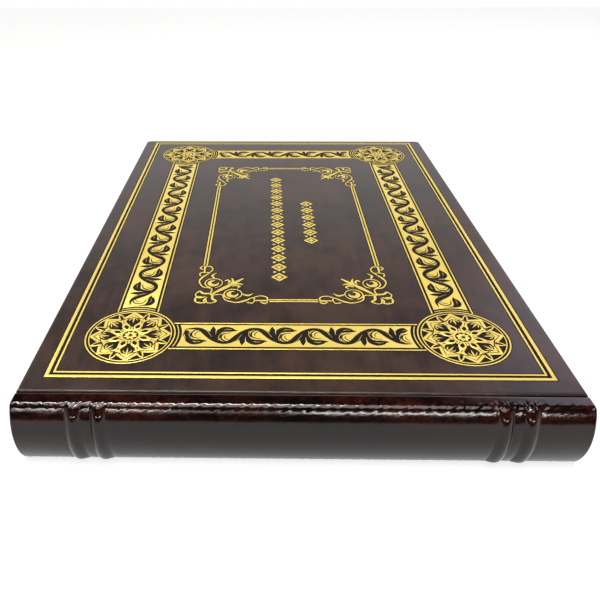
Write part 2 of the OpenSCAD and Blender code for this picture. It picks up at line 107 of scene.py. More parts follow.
def colour(name, description, default):
    """A colour property, in linear light."""
    return bpy.props.FloatVectorProperty(
        name=name, description=description, default=default, size=3, min=0, max=1,
        subtype="COLOR")


def number(name, description, default):
    """A plain number property."""
    return bpy.props.FloatProperty(name=name, description=description, default=default)


class AlbumSizes(bpy.types.PropertyGroup):
    """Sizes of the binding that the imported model's boxes don't give."""
    leather: length("Leather", "Thickness of the cover and spine leather", 0.9)
    turn_in: length("Turn-in width", "Width of the leather turned in round the boards", 16)
    turn_in_leather: length("Turn-in leather", "Thickness of the pared turn-in", 0.6)
    corner: length("Cover corner", "Radius of the covers' outer corners", 3.5)
    edge: length("Cover edge", "Rounding of the covers' outer edges", 0.95)
    spine_rise: length("Spine rise", "Swell of the round over the book's thickness", 4.75)
    shoulder: length("Shoulder", "Outside radius of the spine's shoulders", 3)
    stiffener: length("Stiffener", "Thickness of the spine stiffener", 1)
    lining: length("Lining", "Thickness of the cloth lining", 0.3)
    band_height: length("Band height", "Height of a raised band", 1.4)
    band_width: length("Band width", "Width of a raised band over its flanks", 5.7)
    band_flank: length("Band flank", "Width of the round flank of a band", 2.75)
    wrinkle: length("Wrinkle", "Height of the wrinkles along the shoulders", 0.2)
    groove: length("Groove", "Depth of the joint's groove", 1)
    leaves: bpy.props.IntProperty(
        name="Leaves", description="Number of leaves that the pages are built of",
        default=104, min=10, max=200)
    gilt: length("Gilt height", "Height of the gilding over the leather", 0.05)


class AlbumColours(bpy.types.PropertyGroup):
    """Colours of leather, gilding, paper and silk."""
    cover_dark: colour("Cover dark", "Darkest brown of the covers", (0.014, 0.0048, 0.0028))
    cover_light: colour("Cover light", "Lightest brown of the covers", (0.056, 0.0225, 0.012))
    # spine_dark is also the colour of the painted shade on the lower spine
    spine_dark: colour("Spine dark", "Darkest red-brown of the spine", (0.003, 0.0008, 0.0007))
    spine_light: colour("Spine light", "Lightest red-brown of the spine", (0.05, 0.009, 0.0055))
    gold: colour("Gold", "Gold leaf", (0.96, 0.75, 0.16))
    gold_shade: colour("Gold shade", "Gold leaf where it is thin", (0.62, 0.41, 0.10))
    paper: colour("Paper", "Endpapers and leaves", (0.80, 0.74, 0.60))
    paper_edge: colour("Paper edge", "Trimmed edges of the leaves", (0.70, 0.62, 0.47))
    silk_red: colour("Silk red", "Main silk of the headbands", (0.30, 0.012, 0.012))
    silk_gold: colour("Silk gold", "Second silk of the headbands", (0.72, 0.52, 0.20))
    board: colour("Board", "Grey millboard", (0.26, 0.24, 0.20))
    cloth: colour("Cloth", "Cotton lining of the spine", (0.66, 0.62, 0.52))
    core: colour("Core", "Leather of the bands' cores", (0.20, 0.11, 0.06))


class AlbumStage(bpy.types.PropertyGroup):
    """Light and camera."""
    top_power: number("Top light", "Power of the softbox overhead, in watts", 9.5)
    side_power: number("Side light", "Power of the softbox on the right, in watts", 0.8)
    world: number("Room light", "Strength of the room's own light", 0.25)
    reflector: number("Reflectors", "Brightness of the cards that reflections see", 5)
    strip: number("Strip", "Brightness of the narrow cards overhead and in front", 60)
    side_card: number("Side cards", "Brightness of the cards at the sides", 0.6)
    mirror: number("Room mirrored", "Strength of the room in reflections", 0.03)
    sky_bottom: number("Bright up to", "Height of the backdrop's bright part, in metres", 0.45)
    sky_top: number("Dark above", "Height above which the backdrop is dark, in metres", 0.95)
    glow: number("Floor glow", "White that camera and reflections add to the floor", 0.8)
    lens: number("Lens", "Focal length over a sensor of 36 mm", 35.37)
    shift: number("Shift", "Sideways shift of the picture, in widths", 0.0732)


# Surfaces

def joined(*columns):
    """Points with the given arrays as coordinates, which are spread to one shape."""
    return np.stack(np.broadcast_arrays(*columns), -1)


# Width of the bevel along the edges of a plate
BEVEL = 0.12


class Shape:
    """Surfaces gathered into one mesh, as arrays of points and of faces."""

    def __init__(self):
        self.points = []
        self.quads = []
        self.rims = []
        self.coords = []
        self.count = 0

    def grid(self, points, rows_wrap=False, cols_wrap=False, coords=None):
        """A surface of points in rows and columns. It faces the side of rows cross columns."""
        rows, cols = points.shape[:2]
        index = self.count + np.arange(rows * cols).reshape(rows, cols)
        self.points.append(points.reshape(-1, 3))
        self.coords.append(np.zeros((rows * cols, 2)) if coords is None else coords.reshape(-1, 2))
        self.count += rows * cols
        ring = np.vstack([index, index[:1]]) if rows_wrap else index
        ring = np.hstack([ring, ring[:, :1]]) if cols_wrap else ring
        quads = [ring[:-1, :-1], ring[1:, :-1], ring[1:, 1:], ring[:-1, 1:]]
        self.quads.append(np.stack(quads, -1).reshape(-1, 4))
        return index

    def cap(self, rim):
        """One face over a rim of points, seen anticlockwise from outside."""
        self.rims.append([int(i) for i in rim])

    def tube(self, points, rows_wrap=False, coords=None):
        """A closed solid: columns run once round each row, and the end rows are capped."""
        index = self.grid(points, rows_wrap=rows_wrap, cols_wrap=True, coords=coords)
        if not rows_wrap:
            self.cap(index[0])
            self.cap(index[-1][::-1])

    def strip(self, right, left, base, top, closed=False, rounded=False):
        """A thin raised plate between two edges in plan, seen along its length.

        Each cross-section goes over the plate from its right edge to its left one: straight up,
        over a narrow bevel to the flat top and down again, or over one round crown.
        """
        gap = left - right
        width = np.maximum(np.linalg.norm(gap, axis=1, keepdims=True), 1e-4)
        if rounded:
            share = np.tile([0, 0, 0.14, 0.5, 0.86, 1, 1], (len(right), 1))
            level = np.array([0, 0.45, 0.8, 1, 0.8, 0.45, 0])
        else:
            bevel = np.minimum(BEVEL / width, 0.3)
            share = np.hstack([0 * bevel, 0 * bevel, bevel, 1 - bevel, 1 + 0 * bevel, 1 + 0 * bevel])
            level = np.array([0, 0.6, 1, 1, 0.6, 0])
        x, y = (right[:, i, None] + share * gap[:, i, None] for i in (0, 1))
        self.tube(joined(x, y, base + (top - base) * level), rows_wrap=closed)

    def ribbon(self, path, base, top, closed=False, rounded=False):
        """A strip along a path whose points are x, y and width."""
        if closed:
            way = np.roll(path[:, :2], -1, 0) - np.roll(path[:, :2], 1, 0)
        else:
            way = np.gradient(path[:, :2], axis=0)
        way = way / np.maximum(np.linalg.norm(way, axis=1, keepdims=True), 1e-9)
        side = joined(-way[:, 1], way[:, 0]) * path[:, 2:3] / 2
        self.strip(path[:, :2] - side, path[:, :2] + side, base, top, closed, rounded)

    def mesh(self, name):
        """The mesh of all surfaces gathered so far, in metres."""
        points = np.vstack(self.points) * MM
        faces = np.vstack(self.quads).tolist() + self.rims
        mesh = bpy.data.meshes.new(name)
        mesh.from_pydata(points.tolist(), [], faces)
        loops = np.zeros(len(mesh.loops), np.int32)
        mesh.loops.foreach_get("vertex_index", loops)
        layer = mesh.uv_layers.new(name="UVMap")
        layer.data.foreach_set("uv", np.vstack(self.coords)[loops].astype(np.float32).ravel())
        mesh.validate()
        return mesh


def smooth(points, steps):
    """Points along the smooth curve through the given ones.

    In each span it is the cubic whose slope at a point is half the step between its neighbours.
    """
    p = np.asarray(points, float)
    padded = np.vstack([p[:1], p, p[-1:]])
    a, b, c, d = padded[:-3], padded[1:-2], padded[2:-1], padded[3:]
    t = (np.arange(steps) / steps)[None, :, None]
    a, b, c, d = (q[:, None, :] for q in (a, b, c, d))
    curve = 0.5 * (2 * b + (c - a) * t + (2 * a - 5 * b + 4 * c - d) * t ** 2
                   + (3 * b - a - 3 * c + d) * t ** 3)
    return np.vstack([curve.reshape(-1, p.shape[1]), p[-1:]])


def polar(middle, radius, angle):
    """Points at the given radii and angles, in radians, round a middle."""
    return joined(middle[0] + radius * np.cos(angle), middle[1] + radius * np.sin(angle))


def circle(middle, radius, count):
    """Points evenly round a circle."""
    return polar(middle, radius, np.arange(count) * 2 * np.pi / count)


def arc(middle, radius, start, end, count):
    """Points on an arc between two angles in degrees."""
    return polar(middle, radius, np.radians(np.linspace(start, end, count)))


def widen(points, width):
    """Points in plan with a width each, as the path of a ribbon."""
    return np.column_stack([points, np.broadcast_to(width, len(points))])


def put(path, at, turn=0, flip=(1, 1), size=1):
    """A path scaled, mirrored, turned by degrees and moved; a third column is scaled alone."""
    path = np.array(path, float) * size
    path[:, :2] *= flip
    c, s = math.cos(math.radians(turn)), math.sin(math.radians(turn))
    path[:, :2] = path[:, :2] @ np.array([[c, s], [-s, c]]) + at
    return path


def petal(start, end, half):
    """A straight path from one radius to another whose width swells as a half sine wave."""
    t = np.linspace(0, 1, 11)
    return joined(start + (end - start) * t, 0, np.maximum(2 * half * np.sin(np.pi * t), 0.04))


def ease(share):
    """From 0 at a share of 0 to 1 at a share of 1, with soft ends."""
    t = np.clip(share, 0, 1)
    return t * t * (3 - 2 * t)


def waves(rng, where, lengths):
    """A sum of sine waves of the given lengths with seeded phases, from about -1 to 1."""
    total = np.zeros_like(where)
    for wave in lengths:
        total = total + np.sin(2 * np.pi * (where / wave) + rng.uniform(0, 2 * np.pi))
    return total / len(lengths)


def placed(name, data):
    """A new object in the scene."""
    piece = bpy.data.objects.new(name, data)
    bpy.context.scene.collection.objects.link(piece)
    return piece


def add(name, shape, material, body, node=None, crease=40):
    """Makes an object of a shape, with its material and body, and the node it replaces.

    A piece that lies between two bodies comes without a body.
    """
    mesh = shape.mesh(name)
    mesh.materials.append(material)
    mesh.shade_smooth()
    mesh.set_sharp_from_angle(angle=math.radians(crease))
    piece = placed(name, mesh)
    if body:
        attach(piece, body)
    if node:
        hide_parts(node)
    return piece


# Shaders

class Value:
    """A number in a shader: Python's operators on it add Math nodes."""

    def __init__(self, finish, socket):
        self.finish = finish
        self.socket = socket

    def math(self, operation, first, second=0.0):
        return self.finish.node("ShaderNodeMath", {"operation": operation}, {0: first, 1: second})

    def __add__(self, other):
        return self.math("ADD", self, other)

    __radd__ = __add__

    def __mul__(self, other):
        return self.math("MULTIPLY", self, other)

    __rmul__ = __mul__

    def __pow__(self, other):
        return self.math("POWER", self, other)

    def wave(self):
        return self.math("SINE", self)

    def ramp(self, low, high):
        """From 0 at one value to 1 at another, with soft ends."""
        return self.finish.node(
            "ShaderNodeMapRange", {"interpolation_type": "SMOOTHSTEP"},
            {"Value": self, "From Min": low, "From Max": high})


class Nodes:
    """The node tree of a material or of the world."""

    def __init__(self, owner):
        self.owner = owner
        owner.use_nodes = True
        self.tree = owner.node_tree
        self.tree.nodes.clear()

    def node(self, kind, settings=None, values=None, output=0):
        """Adds a node: its settings come first, then the values or links of its sockets."""
        node = self.tree.nodes.new(kind)
        for name, setting in (settings or {}).items():
            setattr(node, name, setting)
        for name, value in (values or {}).items():
            if isinstance(value, Value):
                self.tree.links.new(value.socket, node.inputs[name])
            elif node.inputs[name].type == "RGBA":
                node.inputs[name].default_value = (*value, 1)
            else:
                node.inputs[name].default_value = value
        return None if output is None else Value(self, node.outputs[output])

    def ray(self, kind):
        """1 for rays of one kind, such as Camera or Glossy, and 0 for all others."""
        return self.node("ShaderNodeLightPath", output=f"Is {kind} Ray")


class Finish(Nodes):
    """The nodes of one material."""

    def __init__(self, name):
        super().__init__(bpy.data.materials.new(name))
        self.place = self.node("ShaderNodeTexCoord", output="Object")

    def part(self, axis, vector=None):
        """One coordinate of the place, or of another vector."""
        return self.node("ShaderNodeSeparateXYZ", {}, {"Vector": vector or self.place},
                         output=axis)

    def stretch(self, scale):
        """Object coordinates scaled along each axis."""
        return self.node("ShaderNodeMapping", {}, {"Vector": self.place, "Scale": scale})

    def noise(self, size, detail=3.0, rough=0.55, place=None):
        """Soft noise whose patches are about the given size in millimetres."""
        return self.node("ShaderNodeTexNoise", {}, {
            "Vector": place or self.place, "Scale": 1 / (size * MM), "Detail": detail,
            "Roughness": rough})

    def cells(self, size):
        """Distance to the nearest of scattered points, the given size in millimetres apart."""
        return self.node("ShaderNodeTexVoronoi", {}, {
            "Vector": self.place, "Scale": 1 / (size * MM)}, output="Distance")

    def pores(self):
        """Pores of calf: 0 in the middle of each, 1 between them."""
        return self.cells(0.55).ramp(0.05, 0.4)

    def bands(self, size, axis, distortion=0.0):
        """Parallel bands across an axis, the given size in millimetres apart."""
        return self.node("ShaderNodeTexWave", {"bands_direction": axis}, {
            "Vector": self.place, "Scale": math.pi / (10 * size * MM), "Distortion": distortion},
            output="Fac")

    def blend(self, share, first, second):
        """A colour between two, each a colour or a link."""
        return self.node("ShaderNodeMix", {"data_type": "RGBA"}, {0: share, 6: first, 7: second},
                         output=2)

    def bump(self, height, depth):
        """A normal from a height of 0 to 1 that stands for a depth in millimetres."""
        return self.node("ShaderNodeBump", {}, {"Height": height, "Distance": depth * MM},
                         output="Normal")

    def surface(self, **inputs):
        """Ends the tree with one shader, whose inputs are named with _ for a space."""
        values = {name.replace("_", " "): value for name, value in inputs.items()}
        shader = self.node("ShaderNodeBsdfPrincipled", {}, values, output="BSDF")
        self.node("ShaderNodeOutputMaterial", {}, {"Surface": shader}, output=None)
        return self.owner


def stored(name, paint):
    """The material of that name, painted the first time that it is asked for."""
    return bpy.data.materials.get(name) or paint(name, bpy.context.scene.album_colours)


def paint_cover(name, colours):
    """Satin dark calf: soft clouds of dye, faint streaks, pores and a fine grain."""
    f = Finish(name)
    clouds = f.noise(34, 4, 0.6) * 0.65 + f.noise(9) * 0.35
    streaks = f.noise(3, 2, place=f.stretch((1, 0.12, 1)))
    dye = (clouds * 0.8 + streaks * 0.2).ramp(0.36, 0.64)
    grain = f.pores() * 0.55 + f.noise(0.9) * 0.25 + f.noise(7) * 0.6
    return f.surface(
        Base_Color=f.blend(dye, colours.cover_dark, colours.cover_light),
        Roughness=0.25 + 0.10 * f.noise(22) + 0.04 * dye,
        Normal=f.bump(grain, 0.035))


def paint_pressed_with_shade(name, colours):
    """Calf flattened by the hot tool, darkened by it and by painted shade of the impression, with
    little gloss and a trace of the grain.
    """
    f = Finish(name)
    dye = f.noise(9)
    grain = f.pores() * 0.5 + f.noise(0.9) * 0.5
    # The near-black end of the blend is partly the tool's darkening and partly painted shade
    return f.surface(
        Base_Color=f.blend(dye, (0.004, 0.002, 0.0015), colours.cover_dark),
        Roughness=0.5 + 0.15 * f.noise(3),
        Normal=f.bump(grain, 0.02),
        Specular_IOR_Level=0.12)


# Heights over which painted shade on the spine fades out: nearly black below, its red-brown dye
# above
PAINTED_SHADE_FROM, PAINTED_SHADE_TO = 19.5, 25


def paint_spine(name, colours):
    """Polished calf in red-brown clouds of dye, made nearly black below a height by painted shade.
    """
    f = Finish(name)
    # Mask of painted shade: 0 low on the spine, 1 above the heights
    shoulder = f.part("Z").ramp(PAINTED_SHADE_FROM * MM, PAINTED_SHADE_TO * MM)
    clouds = f.noise(12, 4, 0.65, place=f.stretch((0.6, 1, 1)))
    fine = f.noise(1.6, 4, 0.65)
    # The clouds of dye, cut to a tenth by the painted shade low on the spine
    dye = (clouds * 0.6 + fine * 0.4).ramp(0.42, 0.66) * (0.1 + 0.9 * shoulder)
    grain = f.noise(1.3, 4, 0.6) * 0.5 + f.noise(6, 2) * 0.8
    return f.surface(
        Base_Color=f.blend(dye, colours.spine_dark, colours.spine_light),
        Roughness=0.08 + 0.08 * f.noise(5),
        Normal=f.bump(grain, 0.03),
        Specular_IOR_Level=0.42)


def paint_gold(name, colours):
    """Gold leaf pressed into leather: bright, a little uneven, with the grain showing through."""
    f = Finish(name)
    worn = (f.noise(1.1) * 0.6 + f.noise(14) * 0.4).ramp(0.42, 0.2)
    grain = f.pores() * 0.4 + f.noise(0.7) * 0.5
    return f.surface(
        Base_Color=f.blend(worn * 0.55, colours.gold, colours.gold_shade),
        Metallic=0.4,
        Roughness=0.34 + 0.12 * f.noise(2.5),
        Normal=f.bump(grain, 0.02))


def paint_paper(name, colours):
    """Laid paper: close wires one way, chain lines the other way, and scattered fibres."""
    f = Finish(name)
    wires = f.bands(1.1, "Y", 0.6)
    chains = f.bands(26, "X", 0.2) ** 30
    fibres = f.noise(0.5, place=f.stretch((1, 0.25, 1))).ramp(0.62, 0.78)
    tone = f.noise(40) * 0.5 + fibres * 0.35 + chains * 0.25
    return f.surface(
        Base_Color=f.blend(tone * 0.5, colours.paper, colours.paper_edge),
        Roughness=0.82 + 0.08 * fibres,
        Normal=f.bump(wires * 0.5 + chains * 0.4 + fibres * 0.3, 0.02))


def paint_leaves(name, colours):
    """Trimmed edges of paper: each leaf a little lighter or darker, with fine knife marks."""
    f = Finish(name)
    layers = f.noise(0.35, 2, place=f.stretch((0.02, 0.02, 1)))
    knife = f.noise(2.2, place=f.stretch((1, 1, 0.06)))
    age = f.noise(30)
    tone = (layers * 0.6 + knife * 0.25 + age * 0.35).ramp(0.35, 0.85)
    return f.surface(
        Base_Color=f.blend(tone, colours.paper, colours.paper_edge),
        Roughness=0.78 + 0.1 * layers,
        Normal=f.bump(layers * 0.6 + knife * 0.4, 0.03))


def paint_silk(name, colours):
    """Silk wound in turns, four of one colour and two of the other, with a twist in each."""
    f = Finish(name)
    across = f.node("ShaderNodeUVMap", {"uv_map": "UVMap"})
    turns = (f.part("X", across) * (math.pi / 3)).wave().ramp(0.30, 0.42)
    twist = f.noise(0.25, 2, place=f.stretch((3, 1, 1)))
    return f.surface(
        Base_Color=f.blend(turns, colours.silk_red, colours.silk_gold),
        Roughness=0.38 + 0.2 * twist,
        Sheen_Weight=0.5,
        Normal=f.bump(twist, 0.03))


def paint_board(name, colours):
    """Grey millboard: pressed fibres and dark specks."""
    f = Finish(name)
    fibres = f.noise(1.4, 4, 0.7, place=f.stretch((1, 0.4, 1)))
    specks = f.cells(2.4).ramp(0.22, 0.1)
    return f.surface(
        Base_Color=f.blend((fibres * 0.7 + specks * 0.5).ramp(0.2, 0.9), colours.board,
                           (0.10, 0.09, 0.075)),
        Roughness=0.9 + 0.05 * fibres,
        Normal=f.bump(fibres, 0.08))


def paint_cloth(name, colours):
    """Open cotton: threads over and under each other."""
    f = Finish(name)
    weave = f.bands(0.8, "X") * f.bands(0.8, "Z")
    return f.surface(
        Base_Color=f.blend(weave, (0.30, 0.27, 0.21), colours.cloth),
        Roughness=0.85 + 0.1 * weave,
        Normal=f.bump(weave, 0.1))


def paint_core(name, colours):
    """Plain leather with its flesh side up: fibrous and matt."""
    f = Finish(name)
    nap = f.noise(0.8, 4, 0.7) * 0.6 + f.noise(6) * 0.4
    return f.surface(
        Base_Color=f.blend(nap.ramp(0.3, 0.7), (0.12, 0.06, 0.035), colours.core),
        Roughness=0.8 + 0.15 * nap,
        Normal=f.bump(nap, 0.1))


# Forms of the binding

def cover_plan(corner):
    """Plan of a cover: points anticlockwise, outward directions, and 1 for those on the joint."""
    x, y = COVER_X - corner, FORE_Y - corner
    along = np.linspace(-COVER_X, COVER_X, 61)
    up = np.linspace(PANEL_Y, y, 61)[1:]
    down = up[:-1][::-1]
    back = np.linspace(x, -x, 41)[1:]
    ends = np.sign(along) * (abs(along) > COVER_X - 1e-6)
    steps = 8
    first, second = (90 / steps, 90, steps), (90 + 90 / steps, 180, steps)
    runs = (
        (joined(along, PANEL_Y), joined(ends, -1)),
        (joined(COVER_X, up), joined(1, 0 * up)),
        (arc((x, y), corner, *first), arc((0, 0), 1, *first)),
        (joined(back, FORE_Y), joined(0 * back, 1)),
        (arc((-x, y), corner, *second), arc((0, 0), 1, *second)),
        (joined(-COVER_X, down), joined(-1, 0 * down)))
    points, outward = (np.vstack(part) for part in zip(*runs))
    joint = (abs(points[:, 1] - PANEL_Y) < 1e-6).astype(float)
    return points, outward, joint


def cover_shell(sizes, front):
    """Leather round a board, as rings of the plan carried from the face round the edge.

    Each ring is the plan drawn in by a distance at a depth under the face: the face, a quarter
    round at the edge, the side, the inner edge, the turn-in, and back along the board inside.
    On the joint side the rings stay at the edge, because nothing is turned in there.
    """
    hide, thin = sizes.leather / MM, sizes.turn_in_leather / MM
    edge, turn = sizes.edge / MM, sizes.turn_in / MM
    deep = FACE_Z - INNER_Z
    inner = 0.7 * edge
    bend = np.radians(np.linspace(0, 90, 7))
    # Each ring has its inset at the outer edges, its inset at the joint and its depth
    rings = [(24, 24, 0), (7, 7, 0), (2.6, 1.6, 0.015)]
    rings += [(edge * (1 - math.sin(a)), 0.6 * edge * (1 - math.sin(a)), edge * (1 - math.cos(a)))
              for a in bend]
    rings += [(inner * (1 - math.cos(a)), 0.3 * inner * (1 - math.cos(a)),
               deep - inner * (1 - math.sin(a))) for a in bend]
    rings += [(turn - 1.2, 0.4, deep), (turn - 0.2, 0.42, deep - 0.12), (turn, 0.44, deep - thin),
              (hide, 0.5, deep - thin - 0.05), (hide, 0.55, hide), (24, 24, hide)]
    points, outward, joint = cover_plan(sizes.corner / MM)
    sides, near, depth = np.moveaxis(np.array(rings)[:, None, :], -1, 0)
    inset = joined(sides, np.where(joint > 0, near, sides))
    plan = points - outward * np.minimum(inset, 0.85 * sizes.corner / MM)
    low, high = plan.min(1, keepdims=True), plan.max(1, keepdims=True)
    least, most = joined(sides - COVER_X, near + PANEL_Y), joined(COVER_X - sides, FORE_Y - sides)
    plan = least + (plan - low) / (high - low) * (most - least)
    surface = joined(plan[..., 0], plan[..., 1], FACE_Z - depth if front else depth)
    if not front:
        surface = surface[:, ::-1]
    shape = Shape()
    index = shape.grid(surface, cols_wrap=True)
    shape.cap(index[0])
    shape.cap(index[-1][::-1])
    return shape


def spine_form(sizes):
    """The round of the spine: its radius and middle, and the shoulders' middle and last angle."""
    strip, rise = STRIP_Z - MIDDLE_Z, sizes.spine_rise / MM
    shoulder = sizes.shoulder / MM
    radius = (strip ** 2 + rise ** 2) / (2 * rise)
    reach = radius - math.sqrt((radius - shoulder) ** 2 - (strip - shoulder) ** 2)
    face = corners("spine_leather")[0][1] + sizes.band_height / MM
    angle = 180 - math.degrees(math.asin((strip - shoulder) / (radius - shoulder)))
    return radius, face + radius, (face + reach, strip - shoulder), angle


def spine_section(sizes):
    """Section of the spine from below to above, in Y and Z about the middle of the thickness.

    Returns points, outward directions, the drop of the rounded edges, the share of a band's
    height, and the distance from the nearest shoulder.
    """
    radius, middle, (shoulder_y, shoulder_z), angle = spine_form(sizes)
    shoulder = sizes.shoulder / MM
    strip = STRIP_Z - MIDDLE_Z
    y = np.concatenate([STRIP_Y - np.array([0, 0.06, 0.2, 0.5]),
                        np.linspace(STRIP_Y - 0.9, shoulder_y, 9)])
    flat = joined(y, strip)
    turn = np.linspace(90, angle, 16)[1:]
    bend = arc((shoulder_y, shoulder_z), shoulder, turn[0], angle, 15)
    top = np.linspace(angle, 180, 24)[1:]
    back = arc((middle, 0), radius, top[0], 180, 23)
    points = np.vstack([flat, bend, back])
    lean = np.radians(np.concatenate([np.full(len(y), 90.0), turn, top]))
    outward = joined(np.cos(lean), np.sin(lean))
    drop = np.concatenate([[0.5, 0.22, 0.07, 0.01], np.zeros(len(points) - 4)])
    climb = np.sin(np.radians(90 * np.clip((top - angle) / 9, 0, 1)))
    share = np.concatenate([0 * y, 0.5 * ((turn - 90) / (angle - 90)) ** 2, 0.5 + 0.5 * climb])
    arm = np.concatenate([[0], np.cumsum(np.linalg.norm(np.diff(points, axis=0), axis=1))])
    crest = arm[len(y)] + 0.35 * (arm[len(y) + 14] - arm[len(y)])

    def whole(half, mirror=1):
        """The lower half, mirrored, and then the upper half without the point in the middle."""
        return np.concatenate([half * np.array(mirror), half[:-1][::-1]])

    return (whole(points, [1, -1]), whole(outward, [1, -1]), whole(drop), whole(share),
            whole(arm - crest))


def band_swell(sizes, x):
    """Height of the leather over the bands along X: round ridges, nipped in beside them."""
    half, flank = sizes.band_width / MM / 2, sizes.band_flank / MM
    height = 0 * x
    for core in BANDS:
        away = abs(x - centre(core)[0])
        climb = np.clip((half - away) / flank, 0, 1)
        nip = np.exp(-((away - half - 0.25) / 0.45) ** 2)
        height = height + (1 - (1 - climb) ** 2) * sizes.band_height / MM - 0.09 * nip
    return height


SPINE_TURN_IN = 12.2
# Wave lengths of the crinkle, of what slants across it, of its strength and of a long sway
CRINKLE, SLANTED = (1.3, 2.1, 3.2, 5.3), (1.7, 2.9, 4.4)
STRENGTH, SWAY = (23, 41, 67), (13, 21, 37)


def spine_shell(sizes):
    """Spine leather: the section carried along X, swelling over the bands.

    Along both shoulders it is crinkled by sine waves, and at head and tail it is doubled.
    """
    rng = np.random.default_rng(SEED)
    ends = COVER_X - np.array([0, 0.04, 0.14, 0.32, 0.6])
    x = np.concatenate([np.linspace(-COVER_X, COVER_X, 270), ends, -ends] + [
        centre(core)[0] + np.linspace(-3.4, 3.4, 41) for core in BANDS])
    x = np.unique(np.round(x, 2))
    points, outward, drop, share, away = spine_section(sizes)
    swell = band_swell(sizes, x)[:, None] * share
    strength = 0.45 + 0.55 * waves(rng, x, STRENGTH) ** 2
    crinkle = waves(rng, x, CRINKLE)[:, None] * strength[:, None]
    crinkle = crinkle + 0.6 * waves(rng, x[:, None] + 1.5 * away, SLANTED)
    crinkle = crinkle * np.exp(-(away / 1.9) ** 2) * sizes.wrinkle / MM
    sway = 0.03 * waves(rng, x[:, None] + 0.4 * away, SWAY) * (share > 0.9)
    tip = np.clip(1 - (COVER_X - abs(x)) / 0.6, 0, 1)[:, None]
    outer = swell + crinkle + sway - drop - 0.45 * (1 - np.sqrt(1 - tip ** 2))
    doubled = np.clip((abs(x) - (COVER_X - SPINE_TURN_IN)) / 0.2, 0, 1)[:, None]
    inner = np.maximum(swell, 0) - sizes.leather / MM - sizes.turn_in_leather / MM * doubled
    skin, lining = (points + reach[..., None] * outward for reach in (outer, inner))
    loop = np.concatenate([skin, lining[:, ::-1]], 1)
    shape = Shape()
    shape.tube(joined(x[:, None], loop[..., 0], loop[..., 1] + MIDDLE_Z))
    return shape


def bar(section, front, half):
    """A closed section in Y and Z, anticlockwise seen from -X, carried along X.

    For the back of the book it is turned over about the middle of the thickness.
    """
    x = np.linspace(-half, half, 61)
    section = np.array(section, float)
    if not front:
        section = section[::-1] * [1, -1] + [0, FACE_Z]
    shape = Shape()
    shape.tube(joined(x[:, None], section[:, 0], section[:, 1]))
    return shape


def joint_section(sizes):
    """Leather in the groove: a hollow between strip and cover, deepest in the middle."""
    t = np.linspace(0, 1, 13)
    y = STRIP_Y - 0.3 + t * (PANEL_Y - STRIP_Y + 0.6)
    z = STRIP_Z - 0.42 - (sizes.groove / MM - 0.42) * np.sin(np.pi * t)
    top = joined(y, z)
    return np.vstack([top, (top - [0, 0.5])[::-1]])


def endpaper_section():
    """Fold of an endpaper, which eases from the flyleaf up to the inner face of the cover."""
    thick, gap = 0.1, 0.06
    start, width = PANEL_Y + 2.2, 2.1
    low = corners("front_flyleaf")[1][2] + gap
    high = corners("front_pastedown")[0][2] - gap
    y = np.concatenate([[PANEL_Y + 4.5], np.linspace(PANEL_Y + 2.4, PANEL_Y - 0.25, 27)])
    line = joined(y, low + (high - low) * ease((start - y) / width))
    return np.vstack([(line - [0, thick / 2])[::-1], line + [0, thick / 2]])


def back_form(sizes):
    """The round of the pages' back, under leather, stiffener and lining: radius and middle."""
    radius, middle = spine_form(sizes)[:2]
    return radius - (sizes.leather + sizes.stiffener + sizes.lining) / MM, middle


# Most by which a leaf falls short at the back, at the fore edge, and at head and tail
SHORT_BACK, SHORT_FORE, SHORT_ENDS = 0.12, 0.14, 0.12


def page_leaves(sizes):
    """The leaves of the block, each a thin slab from the round of the back to the hollow edge.

    A leaf ends at the back and at the fore edge on an arc of one radius, and near the joint it
    leans outwards into the shoulder. Leaves differ a little in length and width.
    """
    rng = np.random.default_rng(SEED)
    radius, middle = back_form(sizes)
    low, high = corners("page_block")
    half = (corners("front_flyleaf")[0][2] - corners("back_flyleaf")[1][2]) / 2
    flare = (high[2] - low[2]) / 2 / half
    hollow = math.sqrt(radius ** 2 - half ** 2)
    heights = np.linspace(-half, half, sizes.leaves + 1)
    gap = 0.012
    shape = Shape()
    for below, above in zip(heights, heights[1:]):
        z = np.array([below + gap, above - gap])
        mid = z.mean()
        start = middle - math.sqrt(radius ** 2 - (mid * flare) ** 2) + rng.uniform(0, SHORT_BACK)
        end = high[1] + hollow - math.sqrt(radius ** 2 - mid ** 2) - rng.uniform(0, SHORT_FORE)
        wide = high[0] - rng.uniform(0, SHORT_ENDS)
        y = np.concatenate([np.linspace(start, PANEL_Y + 0.4, 22), np.linspace(PANEL_Y + 6, end, 9)])
        lean = 1 + (flare - 1) * ease((PANEL_Y + 0.2 - y) / 1.4)
        x = np.array([wide, wide, -wide, -wide])
        shape.tube(joined(x, y[:, None], z[[0, 1, 1, 0]] * lean[:, None] + MIDDLE_Z))
    return shape


# Turns of silk from end to end of a headband, and the bead's place and size in its thicknesses
SILK_TURNS = 54
BEAD_OFFSET, BEAD_SIZE = 0.82, 0.34


